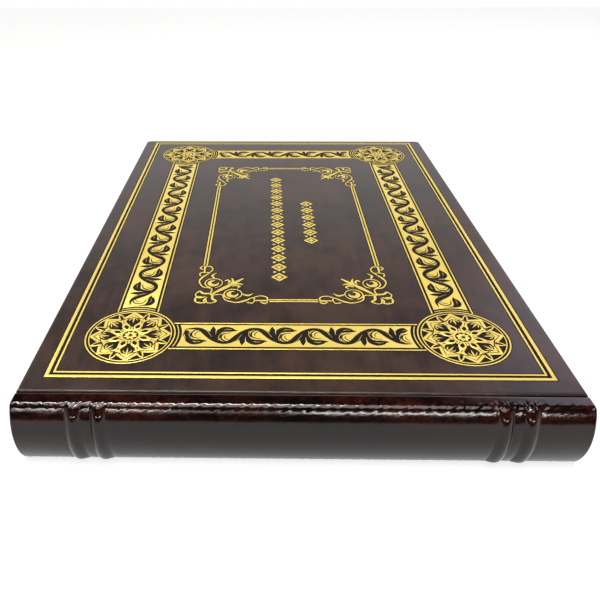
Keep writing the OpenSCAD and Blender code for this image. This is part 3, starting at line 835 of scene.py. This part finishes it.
def headband_roll(sizes, side):
    """Silk wound round a core that follows the round of the pages, with a bead along its foot."""
    radius, middle = back_form(sizes)
    low, high = corners("headband_head" if side < 0 else "headband_tail")
    thick = (high[0] - low[0]) / 2
    line = radius - thick
    swing = math.asin(((high[2] - low[2]) / 2 - thick) / line)
    swept = np.linspace(math.pi - swing, math.pi + swing, 10 * SILK_TURNS + 1)[:, None]
    around = np.arange(14) * 2 * np.pi / 14
    shape = Shape()
    for offset, core, turns in (
            (0, thick, SILK_TURNS), (-BEAD_OFFSET * thick, BEAD_SIZE * thick, SILK_TURNS / 2)):
        share = np.linspace(0, turns, len(swept))[:, None]
        fat = core * (0.93 + 0.07 * abs(np.sin(np.pi * share)))
        reach = line + offset + fat * np.cos(around)
        x = side * (abs(low[0] + high[0]) / 2 + 0.9 * offset) + fat * np.sin(around)
        points = joined(x, middle + reach * np.cos(swept), MIDDLE_Z + reach * np.sin(swept))
        shape.tube(points, coords=joined(share * SILK_TURNS / turns, around / 6.3))
    return shape


# Forms of the gilding. Each piece has gold, leather left standing in it, and gold on that.

PRESSED, GOLD, LEFT, FINE, LAST = range(5)


def gilt_levels(sizes):
    """Base and top of each layer: pressed leather, gold, leather left, fine gold, a last cut."""
    tops = (0.25, 1, 1.9, 2.4, 2.9)
    return [(FACE_Z - 0.05, FACE_Z + top * sizes.gilt / MM) for top in tops]


# Width of the dark pressed leather round each piece of gilding, partly painted shade at the
# impression's edge
PRESSED_AND_SHADED_RIM = 0.5
# The two frames: widths of their lines, their places, and what the flourishes take of a corner
THICK_LINE, THIN_LINE = 1.45, 0.8
OUTER_WIDTH = 3.6
OUTER_INSET = np.array([0, 1.1])
OUTER_SHIFT = FRAME_CENTRE + [0, 0.5]
INNER_INSETS = np.array([0.4, 1.9])
INNER_CORNER = 33.7


def outer_fillets(gold, hide, level):
    """A thick and a thin mitred line round the cover, in one pressed band."""
    half = half_size("gilt_outer_frame") - OUTER_INSET
    turn = np.array([[-1, -1], [1, -1], [1, 1], [-1, 1]])
    for shape, inset, width, depth in (
            (hide, -PRESSED_AND_SHADED_RIM, OUTER_WIDTH + 2 * PRESSED_AND_SHADED_RIM, PRESSED),
            (gold, 0, THICK_LINE, GOLD), (gold, OUTER_WIDTH - THIN_LINE, THIN_LINE, GOLD)):
        outer, inner = (turn * size + OUTER_SHIFT for size in (half - inset, half - inset - width))
        shape.strip(outer, inner, *level[depth], closed=True)


def inner_fillets(gold, hide, level):
    """Two thin lines on each side of the inner frame, from one flourish to the next."""
    half = half_size("gilt_inner_frame")
    run = half - INNER_CORNER
    pressed = np.ptp(INNER_INSETS) + THIN_LINE + 2 * PRESSED_AND_SHADED_RIM
    for shape, inset, width, depth in (
            (hide, INNER_INSETS.mean(), pressed, PRESSED), (gold, INNER_INSETS[0], THIN_LINE, GOLD),
            (gold, INNER_INSETS[1], THIN_LINE, GOLD)):
        for side in (-1, 1):
            x, y = side * (half - inset)
            for line in ([[-run[0], y], [run[0], y]], [[x, -run[1]], [x, run[1]]]):
                shape.ribbon(widen(np.array(line) + FRAME_CENTRE, width), *level[depth])


STAR_POINTS = 8
STAR_STEP = 360 / STAR_POINTS


def star(distance, at, turn, fine=1):
    """Outline of two crossed squares whose sides lie at a distance from the middle.

    The radius is the distance over the cosine of the angle from the nearest notch, at which two
    sides cross.
    """
    count = STAR_POINTS * 2 * fine
    angle = np.arange(count) * 360 / count
    from_tip = abs((angle + STAR_STEP / 2) % STAR_STEP - STAR_STEP / 2)
    radius = distance / np.cos(np.radians(STAR_STEP - from_tip))
    return polar(at, radius, np.radians(angle + turn))


def ring(shape, at, outer, inner, level, count=120):
    """A flat ring between two radii."""
    shape.strip(circle(at, outer, count), circle(at, inner, count), *level, closed=True)


ROUNDEL_TURN = 4
# Strokes in one point of the star, as x, y and width in shares of the radius of its tips
KITE = ((0.38, 0, 0.06), (0.46, 0, 0.22), (0.54, 0, 0.34), (0.61, 0, 0.36), (0.68, 0, 0.27),
        (0.76, 0, 0.06))
LEAF = ((0.80, 0, 0.02), (0.72, 0, 0.045), (0.65, 0, 0.085), (0.58, 0, 0.05), (0.51, 0, 0.012))
CURL = ((0.74, 0.0, 0.03), (0.70, 0.045, 0.04), (0.65, 0.085, 0.05), (0.60, 0.10, 0.015))


def roundel(gold, hide, level, radius, at, turn):
    """A roundel: double ring, star with a trefoil in each point, petals, rosette and floret."""
    line, hair = 0.033 * radius, 0.024 * radius
    tip = 0.92 * radius
    strap = tip * math.cos(math.radians(STAR_STEP))
    ring(hide, at, radius + PRESSED_AND_SHADED_RIM, 0.01, level[PRESSED])
    ring(gold, at, radius, radius - line, level[GOLD])
    ring(gold, at, tip, tip - hair, level[GOLD])
    gold.strip(star(strap, at, turn), star(0.895 * strap, at, turn), *level[GOLD], closed=True)
    body = star(0.868 * strap, at, turn, fine=4)
    around = np.radians(turn + np.arange(len(body)) * 360 / len(body))
    gold.strip(body, polar(at, 0.19 * tip, around), *level[GOLD], closed=True)
    ring(hide, at, 0.725 * tip, 0.70 * tip, level[LEFT])
    ring(hide, at, 0.42 * tip, 0.24 * tip, level[LEFT])
    ring(hide, at, 0.035 * tip, 0.001, level[LAST], 16)
    for i in range(STAR_POINTS):
        on, between = turn + i * STAR_STEP, turn + (i + 0.5) * STAR_STEP
        hide.ribbon(put(KITE, at, on, size=tip), *level[LEFT])
        for stroke, side in ((LEAF, 1), (CURL, -1), (CURL, 1)):
            gold.ribbon(put(smooth(stroke, 4), at, on, (1, side), tip), *level[FINE], rounded=True)
        for start, end, half, where, shape, depth in (
                (0.66, 0.985, 0.07, between, gold, GOLD), (0.72, 0.935, 0.038, between, hide, LEFT),
                (0.48, 0.66, 0.014, between, hide, LEFT), (0.19, 0.54, 0.105, between, gold, FINE),
                (0.25, 0.46, 0.06, between, hide, LAST), (0.22, 0.36, 0.03, on, gold, FINE),
                (0.04, 0.165, 0.04, between, gold, FINE)):
            shape.ribbon(put(petal(start * tip, end * tip, half * tip), at, where),
                         *level[depth])


# The scroll's stem: swing to either side, wave length, shift along the band, least and added
# width, how far past the span it may run, and the tails at its ends, which wave more slowly
SCROLL_SWING = 5.0
SCROLL_WAVE = 25.6
SCROLL_LEAN = 1.5
SCROLL_STEM, SCROLL_SWELL = 2.1, 2.3
SCROLL_SPARE = 1.2
SCROLL_TAIL, SCROLL_SLOW = 5.5, 0.45
# Strokes of the leaf in one hollow of the scroll, each a list of x, y and width
SCROLL_LEAVES = (
    ((-3.6, -3.6, 3.0), (-4.7, -1.0, 3.2), (-5.1, 1.8, 3.4), (-5.2, 4.2, 2.8), (-5.3, 6.6, 0.3)),
    ((-3.4, -3.0, 2.8), (-3.0, 0.0, 3.2), (-2.4, 2.8, 3.8), (-0.2, 4.5, 4.4), (2.4, 4.2, 3.8),
     (4.0, 3.8, 1.8), (5.4, 3.9, 0.3)),
    ((1.8, -4.2, 0.4), (-0.4, -3.4, 0.9), (-1.5, -1.6, 0.9), (-1.1, 0.6, 0.9), (0.6, 1.7, 0.7),
     (2.8, 1.9, 0.3)),
    ((2.4, -3.4, 0.3), (0.8, -2.4, 0.55), (0.0, -1.1, 0.55), (0.2, 0.2, 0.3)),
    ((0.6, -4.2, 0.3), (2.8, -3.3, 0.7), (4.4, -1.2, 0.3)),
)
# Fine gold lines cut through the leaf and the stem
SCROLL_CUTS = (
    ((-3.8, 0.8, 0.1), (-3.9, 2.8, 0.4), (-3.6, 4.6, 0.6), (-3.0, 6.8, 0.9)),
    ((-2.4, -3.6, 0.15), (-2.6, -1.2, 0.3), (-1.9, 1.2, 0.3), (-0.9, 2.6, 0.2)),
    ((-0.6, 4.0, 0.1), (1.0, 4.5, 0.25), (2.8, 4.2, 0.1)),
    ((3.6, -4.7, 0.1), (5.2, -3.2, 0.25), (6.6, -0.6, 0.2), (7.4, 1.2, 0.1)),
)


def scroll(gold, hide, level, span, at, turn):
    """A waving stem of leather, thickest where it crosses the middle, with leaves in its hollows."""
    halves = int(span / SCROLL_WAVE * 2)
    run = halves * SCROLL_WAVE / 2
    start = SCROLL_LEAN - run / 2
    x = np.linspace(-SCROLL_TAIL, run + SCROLL_TAIL, halves * 14 + 13)
    x = x[abs(start + x) < span / 2 + SCROLL_SPARE]
    inside = np.clip(x, 0, run)
    phase = 2 * np.pi * (inside + SCROLL_SLOW * (x - inside)) / SCROLL_WAVE
    taper = np.clip(np.minimum(x - x[0], x[-1] - x) / SCROLL_TAIL + 0.15, 0, 1)
    stem = joined(start + x, SCROLL_SWING * np.cos(phase),
                  (SCROLL_STEM + SCROLL_SWELL * np.sin(phase) ** 2) * taper)
    hide.ribbon(put(stem, at, turn), *level[LEFT], rounded=True)
    for i in range(halves + 1):
        down = -1 if i % 2 == 0 else 1
        hollow = start + i * SCROLL_WAVE / 2
        for strokes, shape, depth, steps in ((SCROLL_LEAVES, hide, LEFT, 5),
                                             (SCROLL_CUTS, gold, FINE, 3)):
            for stroke in strokes:
                path = smooth(stroke, steps) * [1, down, 1] + [hollow, 0, 0]
                left_over = span / 2 + SCROLL_SPARE - abs(path[:, 0])
                path[:, 2] *= np.clip(left_over / 1.5, 0.1, 1)
                path = path[left_over > 0]
                if len(path) > 2:
                    shape.ribbon(put(path, at, turn), *level[depth], rounded=shape is hide)


# A scroll band: its gold field and its lines, and how far each stays from the roundels
FIELD_HALF = 7.65
FIELD_GAP = 2.7
BAND_GAP = 0.7
SIDE_LINE, SIDE_INSET = 0.65, 0.35
END_LINE, END_GAP = 0.45, 1.3
SCROLL_MARGIN = 3.5


def scroll_band(gold, hide, level, node, radius, turn):
    """A band between two roundels: a gold field with hollow ends, its scroll, and its lines.

    The ends of field and lines are arcs about the middles of the roundels.
    """
    at, half = centre(node), half_size(node)
    long, wide = half[::-1] if turn else half
    reach = long + math.sqrt((radius + BAND_GAP) ** 2 - wide ** 2)
    y = np.linspace(-FIELD_HALF, FIELD_HALF, 25)
    x = reach - np.sqrt((radius + FIELD_GAP) ** 2 - y ** 2)
    rim = np.array([[long, -wide - PRESSED_AND_SHADED_RIM], [long, wide + PRESSED_AND_SHADED_RIM]])
    for shape, edge, depth in ((hide, rim, PRESSED), (gold, joined(x, y), GOLD)):
        shape.strip(put(edge, at, turn), put(edge * [-1, 1], at, turn), *level[depth])
    bow = math.degrees(math.asin(FIELD_HALF / (radius + END_GAP)))
    for side in (-1, 1):
        y = side * (wide - SIDE_INSET)
        gold.ribbon(put(widen([[-long, y], [long, y]], SIDE_LINE), at, turn), *level[GOLD])
        ends = arc((side * reach, 0), radius + END_GAP, 90 - 90 * side - bow,
                   90 - 90 * side + bow, 19)
        ends[:, 0] = side * reach - side * abs(ends[:, 0] - side * reach)
        gold.ribbon(put(widen(ends, END_LINE), at, turn), *level[GOLD])
    scroll(gold, hide, level, 2 * x[len(x) // 2] - SCROLL_MARGIN, at, turn)


DRAWN_REACH = 34.6
# Strokes of half a corner flourish from its outer corner, each a list of x, y and width
CORNER_STROKES = (
    ((7.4, 8.4, 1.3), (4, 8.6, 1.5), (2.2, 10.4, 1.3), (0.9, 9.3, 0.8), (0.3, 7.4, 0.7),
     (1.2, 6, 0.7), (3.6, 5.6, 1.0)),
    ((1.1, 5.8, 0.8), (0.4, 3.4, 0.9), (1.1, 1.1, 0.8), (3.2, 0.9, 0.9)),
    ((7.2, 8.6, 0.8), (7.7, 11, 0.8), (7.2, 13.2, 0.8), (3.2, 14.6, 0.9), (1, 19.6, 0.9),
     (2.4, 23.8, 1.5)),
    ((2.4, 23.8, 1.3), (4.8, 27, 0.8), (6.7, 31, 0.8), (5.5, 34, 0.9), (2.8, 34.5, 0.9)),
    ((1.1, 24.8, 1), (0.6, 27.2, 0.8), (2.4, 28.2, 0.7), (5.2, 28.1, 0.7)),
    ((2.7, 28.4, 0.9), (2.6, 34.5, 1.5)),
    ((1.6, 31, 0.8), (0.3, 32.8, 1.1), (1.3, 34.5, 0.8)),
    ((8.9, 27.6, 0.3), (7, 25.2, 1.4), (8.2, 22.4, 0.8)),
    ((15.2, 17.2, 0.8), (15.9, 19.2, 1.2), (14.8, 20.9, 1.3), (13.3, 19.8, 0.4)),
    ((16.9, 17.6, 1), (17.5, 20, 1.5), (16.8, 22.4, 0.7)),
    ((5.9, 5.2, 0.6), (4.7, 2.8, 1.1), (5.0, 1.0, 0.6)),
)
CORNER_CLUB = ((7.2, 7.2, 0.8), (11.4, 11.4, 2), (14.6, 14.6, 2.6), (17, 17, 1.6), (19, 19, 2),
               (22.4, 22.4, 1.0))
COIL_AT = np.array([8.2, 18])
COIL_REACH, BUD_REACH = 4.2, 2.3


def flourish(gold, hide, level, node, flip):
    """A corner flourish: scrolls on both sides of a club, with a coil in the hollow of each."""
    low, high = corners(node)
    size = (high - low)[0] / (DRAWN_REACH + 0.6)
    at = np.where(np.array(flip) > 0, low[:2], high[:2])
    turn = np.linspace(0, 1, 40)
    swell = np.sin(np.pi * turn)
    coil, bud = np.radians(285 + 330 * turn), np.radians(75 + 300 * turn)
    paths = [smooth(CORNER_CLUB, 5)]
    for mirrored in (False, True):
        for stroke in CORNER_STROKES:
            path = smooth(stroke, 5)
            paths.append(path[:, [1, 0, 2]] if mirrored else path)
        spot = COIL_AT[::-1] if mirrored else COIL_AT
        paths.append(widen(polar(spot, COIL_REACH, coil), 0.5 + 0.4 * turn))
        paths.append(widen(polar(spot, BUD_REACH - 0.3 * swell, bud), 0.3 + 2.3 * swell))
    for path in paths:
        gold.ribbon(put(path, at, flip=flip, size=size), *level[GOLD], rounded=True)
        hide.ribbon(put(path, at, flip=flip, size=size) + [0, 0, 2 * PRESSED_AND_SHADED_RIM], *level[PRESSED])


LOZENGE_HALF = 4.15
LOZENGE_PITCH = 9.8
# Length of the short row, and what the long one has over the length of the panel
SHORT_ROW, LONG_SPARE = 59, 2


def lozenges(gold, hide, level, x, span):
    """A row of open lozenges with a seed in each and a pair of dots between them."""
    count = max(1, round(span / LOZENGE_PITCH))
    pitch = span / count
    tall = 0.4 * LOZENGE_PITCH
    corner = np.array([[0, -tall], [LOZENGE_HALF, 0], [0, tall], [-LOZENGE_HALF, 0]])
    for i in range(count):
        at = FRAME_CENTRE + [x, (i - (count - 1) / 2) * pitch]
        for shape, outer, inner, depth in (
                (hide, 1.16, 0.01, PRESSED), (gold, 1, 0.6, GOLD), (gold, 0.38, 0.02, GOLD)):
            shape.strip(corner * outer + at, corner * inner + at, *level[depth], closed=True)
        for side in (-1, 1) if i < count - 1 else ():
            dot = circle(at + [side * 0.56 * LOZENGE_HALF, pitch / 2], 0.42, 14)
            gold.ribbon(widen(dot, 0.75), *level[GOLD], closed=True, rounded=True)


def title_rows(gold, hide, level):
    """A long and a short row of lozenges in the middle panel."""
    low, high = corners("gilt_title_panel")
    lozenges(gold, hide, level, low[0] + LOZENGE_HALF, high[1] - low[1] + LONG_SPARE)
    lozenges(gold, hide, level, high[0] - LOZENGE_HALF, SHORT_ROW)


# Operators, one for each piece or group of pieces

def gilded(context, name, node, draw, *form):
    """Makes a piece of gilding, and the pressed leather round and in it, from what draw adds."""
    gold, hide = Shape(), Shape()
    draw(gold, hide, gilt_levels(context.scene.album_sizes), *form)
    add(name, gold, stored("gold_leaf", paint_gold), FRONT, node, crease=60)
    # The pressed leather round and in the gold carries painted shade in its material
    add(name + "_reserve", hide, stored("pressed_calf", paint_pressed_with_shade), FRONT,
        crease=60)


def bending(name, section, half, material, back_ends):
    """Makes a section into two pieces without a body, at the front and the back."""
    front = add(name + "_front", bar(section, True, half), material, None)
    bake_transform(front)
    back = add(name + "_back", bar(section, False, half), material, None)
    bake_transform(back)


def finish_node(node, material):
    """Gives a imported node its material."""
    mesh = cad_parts[node].data
    mesh.materials.clear()
    mesh.materials.append(material)


class ALBUM_OT_cover_leather(bpy.types.Operator):
    """Build the leather of both covers, turned in round three edges"""
    bl_idname = "album.cover_leather"
    bl_label = "Cover leather"

    def execute(self, context):
        calf = stored("cover_calf", paint_cover)
        for side, body in (("front", FRONT), ("back", BACK)):
            shell = cover_shell(context.scene.album_sizes, side == "front")
            add("cover_skin_" + side, shell, calf, body, side + "_leather")
        return {"FINISHED"}


class ALBUM_OT_spine_leather(bpy.types.Operator):
    """Build the spine leather, moulded over the bands and crinkled at the shoulders"""
    bl_idname = "album.spine_leather"
    bl_label = "Spine leather"

    def execute(self, context):
        add("spine_skin", spine_shell(context.scene.album_sizes),
            stored("spine_calf", paint_spine), SPINE, "spine_leather")
        return {"FINISHED"}


class ALBUM_OT_joints(bpy.types.Operator):
    """Build the leather in the grooves"""
    bl_idname = "album.joints"
    bl_label = "Joints"

    def execute(self, context):
        strip, panel = (0, STRIP_Y * MM, STRIP_Z * MM), (0, PANEL_Y * MM, STRIP_Z * MM)
        bending("joint_skin", joint_section(context.scene.album_sizes), COVER_X - 0.3,
                stored("spine_calf", paint_spine), (panel, strip))
        return {"FINISHED"}


class ALBUM_OT_endpapers(bpy.types.Operator):
    """Build the folds of the endpapers, and finish the pastedowns and flyleaves"""
    bl_idname = "album.endpapers"
    bl_label = "Endpapers"

    def execute(self, context):
        paper = stored("laid_paper", paint_paper)
        for node in ("front_pastedown", "back_pastedown", "front_flyleaf", "back_flyleaf"):
            finish_node(node, paper)
        section = endpaper_section()
        half = corners("front_flyleaf")[1][0] - 0.5
        low, high = section[:, 1].min() + 0.1, section[:, 1].max() - 0.1
        bending("endpaper_fold", section, half, paper,
                [(0, PANEL_Y * MM, (FACE_Z - z) * MM) for z in (high, low)])
        return {"FINISHED"}


class ALBUM_OT_pages(bpy.types.Operator):
    """Build the leaves"""
    bl_idname = "album.pages"
    bl_label = "Pages"

    def execute(self, context):
        add("leaves", page_leaves(context.scene.album_sizes), stored("leaf_edges", paint_leaves),
            SPINE, "page_block")
        return {"FINISHED"}


class ALBUM_OT_headbands(bpy.types.Operator):
    """Build the silk headbands at head and tail"""
    bl_idname = "album.headbands"
    bl_label = "Headbands"

    def execute(self, context):
        sizes = context.scene.album_sizes
        silk = stored("silk", paint_silk)
        for end, side in (("head", -1), ("tail", 1)):
            add("silk_" + end, headband_roll(sizes, side), silk, SPINE,
                "headband_" + end)
        return {"FINISHED"}


class ALBUM_OT_fillets(bpy.types.Operator):
    """Tool the outer and the inner frame, each of two lines"""
    bl_idname = "album.fillets"
    bl_label = "Fillets"

    def execute(self, context):
        gilded(context, "outer_fillets", "gilt_outer_frame", outer_fillets)
        gilded(context, "inner_fillets", "gilt_inner_frame", inner_fillets)
        return {"FINISHED"}


class ALBUM_OT_roundels(bpy.types.Operator):
    """Tool the four roundels"""
    bl_idname = "album.roundels"
    bl_label = "Roundels"

    def execute(self, context):
        for i in range(1, 5):
            node = f"gilt_roundel_{i}"
            gilded(context, f"roundel_{i}", node, roundel, half_size(node)[0], centre(node),
                   ROUNDEL_TURN)
        return {"FINISHED"}


class ALBUM_OT_scroll_bands(bpy.types.Operator):
    """Tool the four bands of scrolling leaf"""
    bl_idname = "album.scroll_bands"
    bl_label = "Scroll bands"

    def execute(self, context):
        radius = half_size("gilt_roundel_1")[0]
        for place, turn in (("front", 0), ("back", 0), ("left", 90), ("right", 90)):
            node = "gilt_band_" + place
            gilded(context, "scroll_" + place, node, scroll_band, node, radius, turn)
        return {"FINISHED"}


class ALBUM_OT_flourishes(bpy.types.Operator):
    """Tool the flourishes in the corners of the inner frame"""
    bl_idname = "album.flourishes"
    bl_label = "Flourishes"

    def execute(self, context):
        for i, flip in enumerate(((1, 1), (-1, 1), (-1, -1), (1, -1)), 1):
            node = f"gilt_corner_{i}"
            gilded(context, f"flourish_{i}", node, flourish, node, flip)
        return {"FINISHED"}


class ALBUM_OT_title_rows(bpy.types.Operator):
    """Tool the two rows of lozenges in the middle panel"""
    bl_idname = "album.title_rows"
    bl_label = "Lozenge rows"

    def execute(self, context):
        gilded(context, "title_rows", "gilt_title_panel", title_rows)
        return {"FINISHED"}


class ALBUM_OT_hidden_parts(bpy.types.Operator):
    """Finish the boards, the spine stiffener, the lining and the cores of the bands"""
    bl_idname = "album.hidden_parts"
    bl_label = "Hidden parts"

    def execute(self, context):
        board = stored("millboard", paint_board)
        for node in ("front_board", "back_board", "spine_stiffener"):
            finish_node(node, board)
        finish_node("spine_lining", stored("open_cotton", paint_cloth))
        for core in BANDS:
            finish_node(core, stored("core_hide", paint_core))
        return {"FINISHED"}


# Stage

def paint_floor(name, stage):
    """White that camera and reflections see a little brighter, so that shadows stay soft."""
    f = Finish(name)
    seen = (f.ray("Camera") + f.ray("Glossy") + f.ray("Transmission")).ramp(0, 1)
    return f.surface(
        Base_Color=(0.4, 0.4, 0.4),
        Roughness=1.0,
        Specular_IOR_Level=0.0,
        Emission_Color=f.blend(seen, (0, 0, 0), (1, 1, 1)),
        Emission_Strength=stage.glow)


def paint_sky(name, stage):
    """Backdrop for reflections: bright below, fading out upwards; white to the camera."""
    f = Finish(name)
    fade = f.blend(f.part("Z").ramp(stage.sky_top, stage.sky_bottom), (0.03, 0.03, 0.03), (1, 1, 1))
    return f.surface(
        Base_Color=(0, 0, 0),
        Roughness=1.0,
        Specular_IOR_Level=0.0,
        Emission_Color=f.blend(f.ray("Camera"), fade, (1, 1, 1)),
        Emission_Strength=1.0)


def paint_reflector(name, strength):
    """A bright card that only reflections see."""
    return Finish(name).surface(
        Base_Color=(0, 0, 0), Roughness=1.0, Emission_Color=(1.0, 0.93, 0.9),
        Emission_Strength=strength)


def card(name, corner, along, up, material):
    """A flat card of the stage from one corner and its two sides, in metres."""
    corner, along, up = np.array([corner, along, up], float)
    rim = np.array([corner, corner + along, corner + along + up, corner + up])
    mesh = bpy.data.meshes.new(name)
    mesh.from_pydata(rim.tolist(), [], [(0, 1, 2, 3)])
    mesh.materials.append(material)
    piece = placed(name, mesh)
    return piece


def softbox(name, at, aim, size, power, tint):
    """A flat lamp in metres and watts that faces a point."""
    data = bpy.data.lights.new(name, "AREA")
    data.shape = "RECTANGLE"
    data.size, data.size_y = size
    data.energy = power
    data.color = tint
    lamp = placed(name, data)
    lamp.location = at
    lamp.rotation_euler = (Vector(at) - Vector(aim)).to_track_quat("Z", "Y").to_euler()


def hide_from(piece, *rays):
    """Hides a piece of the stage from rays of the given kinds."""
    for ray in rays:
        setattr(piece, "visible_" + ray, False)


def light_room(stage):
    """A world that lights softly, looks dark in reflections and is white to the camera."""
    world = bpy.data.worlds.new("room")
    f = Nodes(world)
    room, mirror, white = (
        f.node("ShaderNodeBackground", {}, {"Color": (1, 1, 1), "Strength": strength})
        for strength in (stage.world, stage.mirror, 1.0))
    inner = f.node("ShaderNodeMixShader", {}, {0: f.ray("Glossy"), 1: room, 2: mirror})
    outer = f.node("ShaderNodeMixShader", {}, {0: f.ray("Camera"), 1: inner, 2: white})
    f.node("ShaderNodeOutputWorld", {}, {"Surface": outer}, output=None)
    return world


# The photograph's camera: its place in metres, and its turns in degrees
CAMERA_AT = (-0.01353, -0.30735, FACE_Z * MM + 0.15014)
CAMERA_HEADING, CAMERA_DROP, CAMERA_ROLL = 0.995, 33.12, -0.234


def photo_camera(stage):
    """A camera that looks down at the book from over its spine."""
    data = bpy.data.cameras.new("camera")
    data.lens = stage.lens
    data.shift_x = stage.shift
    data.clip_start = 0.01
    camera = placed("camera", data)
    camera.matrix_world = Matrix.Translation(CAMERA_AT)
    for degrees, axis in ((CAMERA_HEADING, "Z"), (90 - CAMERA_DROP, "X"), (CAMERA_ROLL, "Z")):
        camera.matrix_world = camera.matrix_world @ Matrix.Rotation(math.radians(degrees), 4, axis)
    return camera


class ALBUM_OT_stage(bpy.types.Operator):
    """Build the floor, the lights and the camera"""
    bl_idname = "album.stage"
    bl_label = "Stage"

    def execute(self, context):
        scene = context.scene
        stage = scene.album_stage
        card("floor", (-4, -4, 0), (8, 0, 0), (0, 8, 0), paint_floor("floor", stage))
        sky = card("backdrop", (-2.5, 1.2, 0), (5, 0, 0), (0, 0, 1.4), paint_sky("sky", stage))
        hide_from(sky, "diffuse", "shadow")
        paint = paint_reflector("reflector", stage.reflector)
        bright = paint_reflector("strip", stage.strip)
        dim = paint_reflector("side_card", stage.side_card)
        for name, corner, along, up, material in (
                ("reflector_left", (-0.9, -0.9, 0.02), (0, 0.9, 0), (0, 0, 0.5), dim),
                ("reflector_right", (0.9, 0.0, 0.02), (0, -0.9, 0), (0, 0, 0.5), dim),
                ("reflector_front", (-0.9, -1.6, 0.47), (1.8, 0, 0), (0, 0, 0.07), paint),
                ("reflector_top", (-0.9, 0.06, 1.05), (1.0, 0, 0), (0, 0.11, 0), bright),
                ("reflector_line", (0.1, -1.59, 0.48), (0.7, 0, 0), (0, 0, 0.03), bright),
                ("reflector_edge", (-0.8, -1.59, 0.57), (0.5, 0, 0), (0, 0, 0.03), bright)):
            piece = card(name, corner, along, up, material)
            hide_from(piece, "camera", "diffuse", "shadow", "transmission")
        softbox("top_light", (0, -0.25, 1.0), (0, -0.05, 0), (0.9, 0.7), stage.top_power,
                (1.0, 0.95, 0.88))
        softbox("side_light", (0.62, 0.68, 0.60), (0, 0, 0), (0.35, 0.35), stage.side_power,
                (0.85, 0.8, 1.0))
        scene.world = light_room(stage)
        scene.camera = photo_camera(stage)
        scene.view_settings.view_transform = "Standard"
        return {"FINISHED"}


STEPS = (
    ALBUM_OT_cover_leather, ALBUM_OT_spine_leather, ALBUM_OT_joints, ALBUM_OT_endpapers,
    ALBUM_OT_pages, ALBUM_OT_headbands, ALBUM_OT_fillets, ALBUM_OT_roundels,
    ALBUM_OT_scroll_bands, ALBUM_OT_flourishes, ALBUM_OT_title_rows, ALBUM_OT_hidden_parts,
    ALBUM_OT_stage)


class ALBUM_PT_panel(bpy.types.Panel):
    """Sizes, colours and steps of the album"""
    bl_idname = "ALBUM_PT_panel"
    bl_label = "Leather Album"
    bl_space_type = "VIEW_3D"
    bl_region_type = "UI"
    bl_category = "Album"

    def draw(self, context):
        scene = context.scene
        for settings in (scene.album_sizes, scene.album_colours, scene.album_stage):
            box = self.layout.box()
            for name in settings.__annotations__:
                box.prop(settings, name)
        for step in STEPS:
            self.layout.operator(step.bl_idname)


SETTINGS = {"album_sizes": AlbumSizes, "album_colours": AlbumColours, "album_stage": AlbumStage}


def register():
    """Registers the settings, the operators and the panel."""
    for kind in (*SETTINGS.values(), *STEPS, ALBUM_PT_panel):
        bpy.utils.register_class(kind)
    for name, kind in SETTINGS.items():
        setattr(bpy.types.Scene, name, bpy.props.PointerProperty(type=kind))


def unregister():
    """Takes back what register did."""
    for name in SETTINGS:
        delattr(bpy.types.Scene, name)
    for kind in (ALBUM_PT_panel, *reversed(STEPS), *reversed(SETTINGS.values())):
        bpy.utils.unregister_class(kind)


def main():
    """Builds everything."""
    register()
    for step in STEPS:
        group, name = step.bl_idname.split(".")
        getattr(getattr(bpy.ops, group), name)()


if __name__ == "__main__":
    main()
